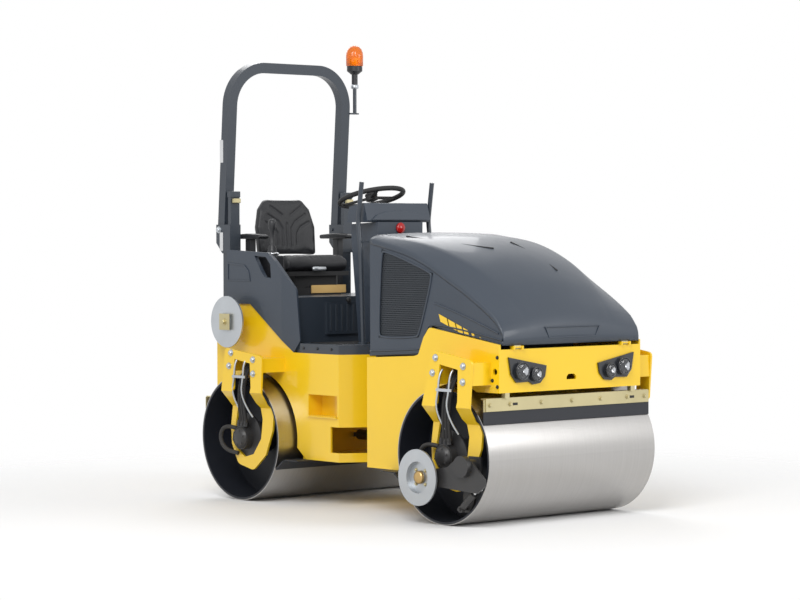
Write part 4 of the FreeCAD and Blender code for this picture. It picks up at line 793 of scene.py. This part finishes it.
def make_edge_cutter():
    lathe("edge_hub_cap", HUB_FACE, (0, -1, 0), [
        (-0.022, 0.034), (-0.006, 0.032), (-0.002, 0.022), (0.0, 0.006)], "edge_disc", "yellow_zinc",
        material=BRASS)
    ring = []
    for turn in range(4):
        angle = math.radians(90 * turn + 45)
        ring.append((HUB_FACE[0] + HUB_BOLT_REACH * math.cos(angle), HUB_BOLT_FACE,
                     HUB_FACE[2] + HUB_BOLT_REACH * math.sin(angle)))
    bolts("edge_hub_bolts", ring, (0, -1, 0), 0.007, "edge_disc", "yellow_zinc")
    x, y, z = SPARE_FACE
    low = (x - SPARE_HALF, y - SPARE_THICK, z - SPARE_HALF)
    high = (x + SPARE_HALF, y, z + SPARE_HALF)
    blocks("spare_plate", [(low, high)], "rear_frame", "yellow_zinc", bevel=0.002)
    bolts("spare_bolt", [(x, y - SPARE_THICK, z)], (0, -1, 0), 0.014, "rear_frame", "yellow_zinc")


# Lamps, frame details and the operator's platform

LAMP_FACE = 1.1985
# Each lamp: its name, distance from the middle, height, radius
LAMPS = (("outer", 0.369, 0.794, 0.047), ("inner", 0.269, 0.775, 0.038))


def make_lamps():
    for label, side in SIDES:
        for which, y, z, radius in LAMPS:
            centre = (LAMP_FACE, side * y, z)
            lathe(f"{which}_lamp_bezel_{label}", centre, (1, 0, 0), [
                (0.0, radius), (0.008, radius), (0.009, radius - 0.003), (0.006, radius - 0.006),
                (0.0005, radius - 0.007)], "front_frame", "lamp_plastic")
            lathe(f"{which}_lamp_bowl_{label}", centre, (1, 0, 0), [
                (0.0002, radius - 0.008), (0.003, radius - 0.010), (0.001, radius * 0.5),
                (0.004, radius * 0.3), (0.005, 0.004)],
                "front_frame", "chrome_rod", steps=32, ripple=0.0006, ribs=16)
            lathe(f"{which}_lamp_glass_{label}", centre, (1, 0, 0), [
                (0.0055, radius - 0.006), (0.009, radius * 0.7), (0.011, radius * 0.35), (0.0115, 0.003)],
                "front_frame", "lamp_plastic", material=CLEAR_GLASS)


def make_frame_details():
    for label, side in SIDES:
        out = side * FRONT_HALF
        bolts(f"front_side_bolts_{label}", [(1.165, out, 0.865), (1.129, out, 0.748), (1.166, out, 0.717)],
              (0, side, 0), 0.007, "front_frame", "black_steel")
        rear_out = side * REAR_HALF
        bolts(f"skirt_bolts_{label}", [(x, rear_out, 0.862) for x in (-0.42, -0.30, -0.18)],
              (0, side, 0), 0.006, "rear_frame", "black_steel")
        teeth = []
        for number in range(11):
            x = -0.372 + number * 0.022
            low, high = sorted((side * (REAR_HALF + 0.002), side * (REAR_HALF + 0.011)))
            teeth.append(((x, low, 0.493), (x + 0.012, high, 0.499)))
        blocks(f"step_teeth_{label}", teeth, "rear_frame", "yellow_paint", bevel=0.001)
        emblem = [(-1.092, 1.225), (-0.880, 1.225), (-0.895, 1.285), (-0.935, 1.318), (-1.092, 1.330)]
        inner = [(-1.084, 1.233), (-0.890, 1.233), (-0.903, 1.280), (-0.939, 1.310), (-1.084, 1.321)]
        work = bmesh.new()
        low, high = sorted((side * SIDE_PANEL_OUT, side * (SIDE_PANEL_OUT + 0.004)))
        add_plate(work, "XZ", emblem, low, high, holes=[inner])
        rib = from_bmesh(f"side_panel_rib_{label}", work)
        piece(f"side_panel_rib_{label}", rib, "rear_frame", "grey_plastic", bevel=0.001)
    rib_places = (-0.245, -0.205, -0.165, -0.125, -0.085, -0.045)
    ribs = [((-0.486, y, 0.945), (-0.481, y + 0.010, 1.095)) for y in rib_places]
    blocks("console_cover_ribs", ribs, "rear_frame", "grey_paint", bevel=0.002)
    lathe("cover_knob", (-0.485, -0.120, 1.120), (1, 0, 0), [
        (0.0, 0.008), (0.010, 0.008), (0.012, 0.014), (0.022, 0.014), (0.026, 0.006)],
        "rear_frame", "black_rubber")
    mat_ribs = [((-0.440, y, 0.887), (-0.180, y + 0.010, 0.891)) for y in
                [-0.42 + 0.028 * number for number in range(31)]]
    blocks("floor_mat_ribs", mat_ribs, "rear_frame", "black_rubber", bevel=0.001)


make_hood()
make_seat()
make_controls()
make_rops_details()
make_running_gear()
make_edge_cutter()
make_lamps()
make_frame_details()


# Floor, light and camera

FLOOR_RADIUS = 9.0
FLOOR_DROP = 0.001
FADE_START = 1.6
FADE_END = 4.5
WORLD_FILL = 0.55
# Each light: its name, place, width and power in watts
LIGHTS = (
    ("key_light", (4.0, -6.0, 6.0), 4.0, 430.0),
    ("front_light", (7.0, 3.0, 3.5), 3.0, 170.0),
    ("back_light", (-5.0, 3.0, 5.0), 4.0, 160.0),
)


def make_stage():
    bpy.ops.mesh.primitive_circle_add(
        vertices=96, radius=FLOOR_RADIUS, fill_type="NGON", location=(0, 0, -FLOOR_DROP))
    floor = bpy.context.object
    floor.name = "floor"
    made = bpy.data.materials.new("pale_floor")
    made.use_nodes = True
    tree = made.node_tree
    shader = tree.nodes["Principled BSDF"]
    shader.inputs["Base Color"].default_value = (0.90, 0.90, 0.90, 1)
    shader.inputs["Roughness"].default_value = 0.9
    shader.inputs["Specular IOR Level"].default_value = 0.1
    place = add(tree, "ShaderNodeTexCoord").outputs["Object"]
    reach = add(tree, "ShaderNodeVectorMath", {0: place}, operation="LENGTH").outputs["Value"]
    fade = add(tree, "ShaderNodeMapRange", {
        "Value": reach, "From Min": FADE_START, "From Max": FADE_END,
    }, interpolation_type="SMOOTHSTEP").outputs["Result"]
    clear = add(tree, "ShaderNodeBsdfTransparent")
    mixed = add(tree, "ShaderNodeMixShader", {0: fade, 1: shader.outputs[0], 2: clear.outputs[0]})
    tree.links.new(mixed.outputs[0], tree.nodes["Material Output"].inputs["Surface"])
    floor.data.materials.append(made)


def make_light():
    world = bpy.data.worlds.new("studio")
    scene.world = world
    world.use_nodes = True
    tree = world.node_tree
    back = tree.nodes["Background"]
    back.inputs["Color"].default_value = (1, 1, 1, 1)
    path = add(tree, "ShaderNodeLightPath")
    seen = add(tree, "ShaderNodeMath", {
        0: path.outputs["Is Camera Ray"], 1: path.outputs["Is Glossy Ray"]}, operation="MAXIMUM")
    seen = add(tree, "ShaderNodeMath", {
        0: seen.outputs[0], 1: path.outputs["Is Transmission Ray"]}, operation="MAXIMUM")
    level = add(tree, "ShaderNodeMapRange", {"Value": seen.outputs[0], "To Min": WORLD_FILL, "To Max": 1.0})
    tree.links.new(level.outputs["Result"], back.inputs["Strength"])
    for name, place, size, power in LIGHTS:
        data = bpy.data.lights.new(name, "AREA")
        data.size = size
        data.energy = power
        lamp = bpy.data.objects.new(name, data)
        lamp.location = place
        lamp.rotation_euler = (Vector((0, 0, 0.8)) - Vector(place)).to_track_quat("-Z", "Y").to_euler()
        scene.collection.objects.link(lamp)


def make_camera():
    place = Vector((10.654, -9.415, 1.493))
    azimuth, elevation, roll = math.radians(48.98), math.radians(1.48), math.radians(-0.15)
    back = Vector((
        math.sin(azimuth) * math.cos(elevation), -math.cos(azimuth) * math.cos(elevation),
        math.sin(elevation)))
    right = Vector((math.cos(azimuth), math.sin(azimuth), 0))
    up = back.cross(right)
    across = right * math.cos(roll) + up * math.sin(roll)
    above = up * math.cos(roll) - right * math.sin(roll)
    data = bpy.data.cameras.new("photo_camera")
    data.sensor_width = 36.0
    data.sensor_fit = "HORIZONTAL"
    data.lens = 116.3
    camera = bpy.data.objects.new("photo_camera", data)
    turn = Matrix((across, above, back)).transposed().to_4x4()
    camera.matrix_world = Matrix.Translation(place) @ turn
    scene.collection.objects.link(camera)
    scene.camera = camera


make_stage()
make_light()
make_camera()
scene.view_settings.view_transform = "Standard"
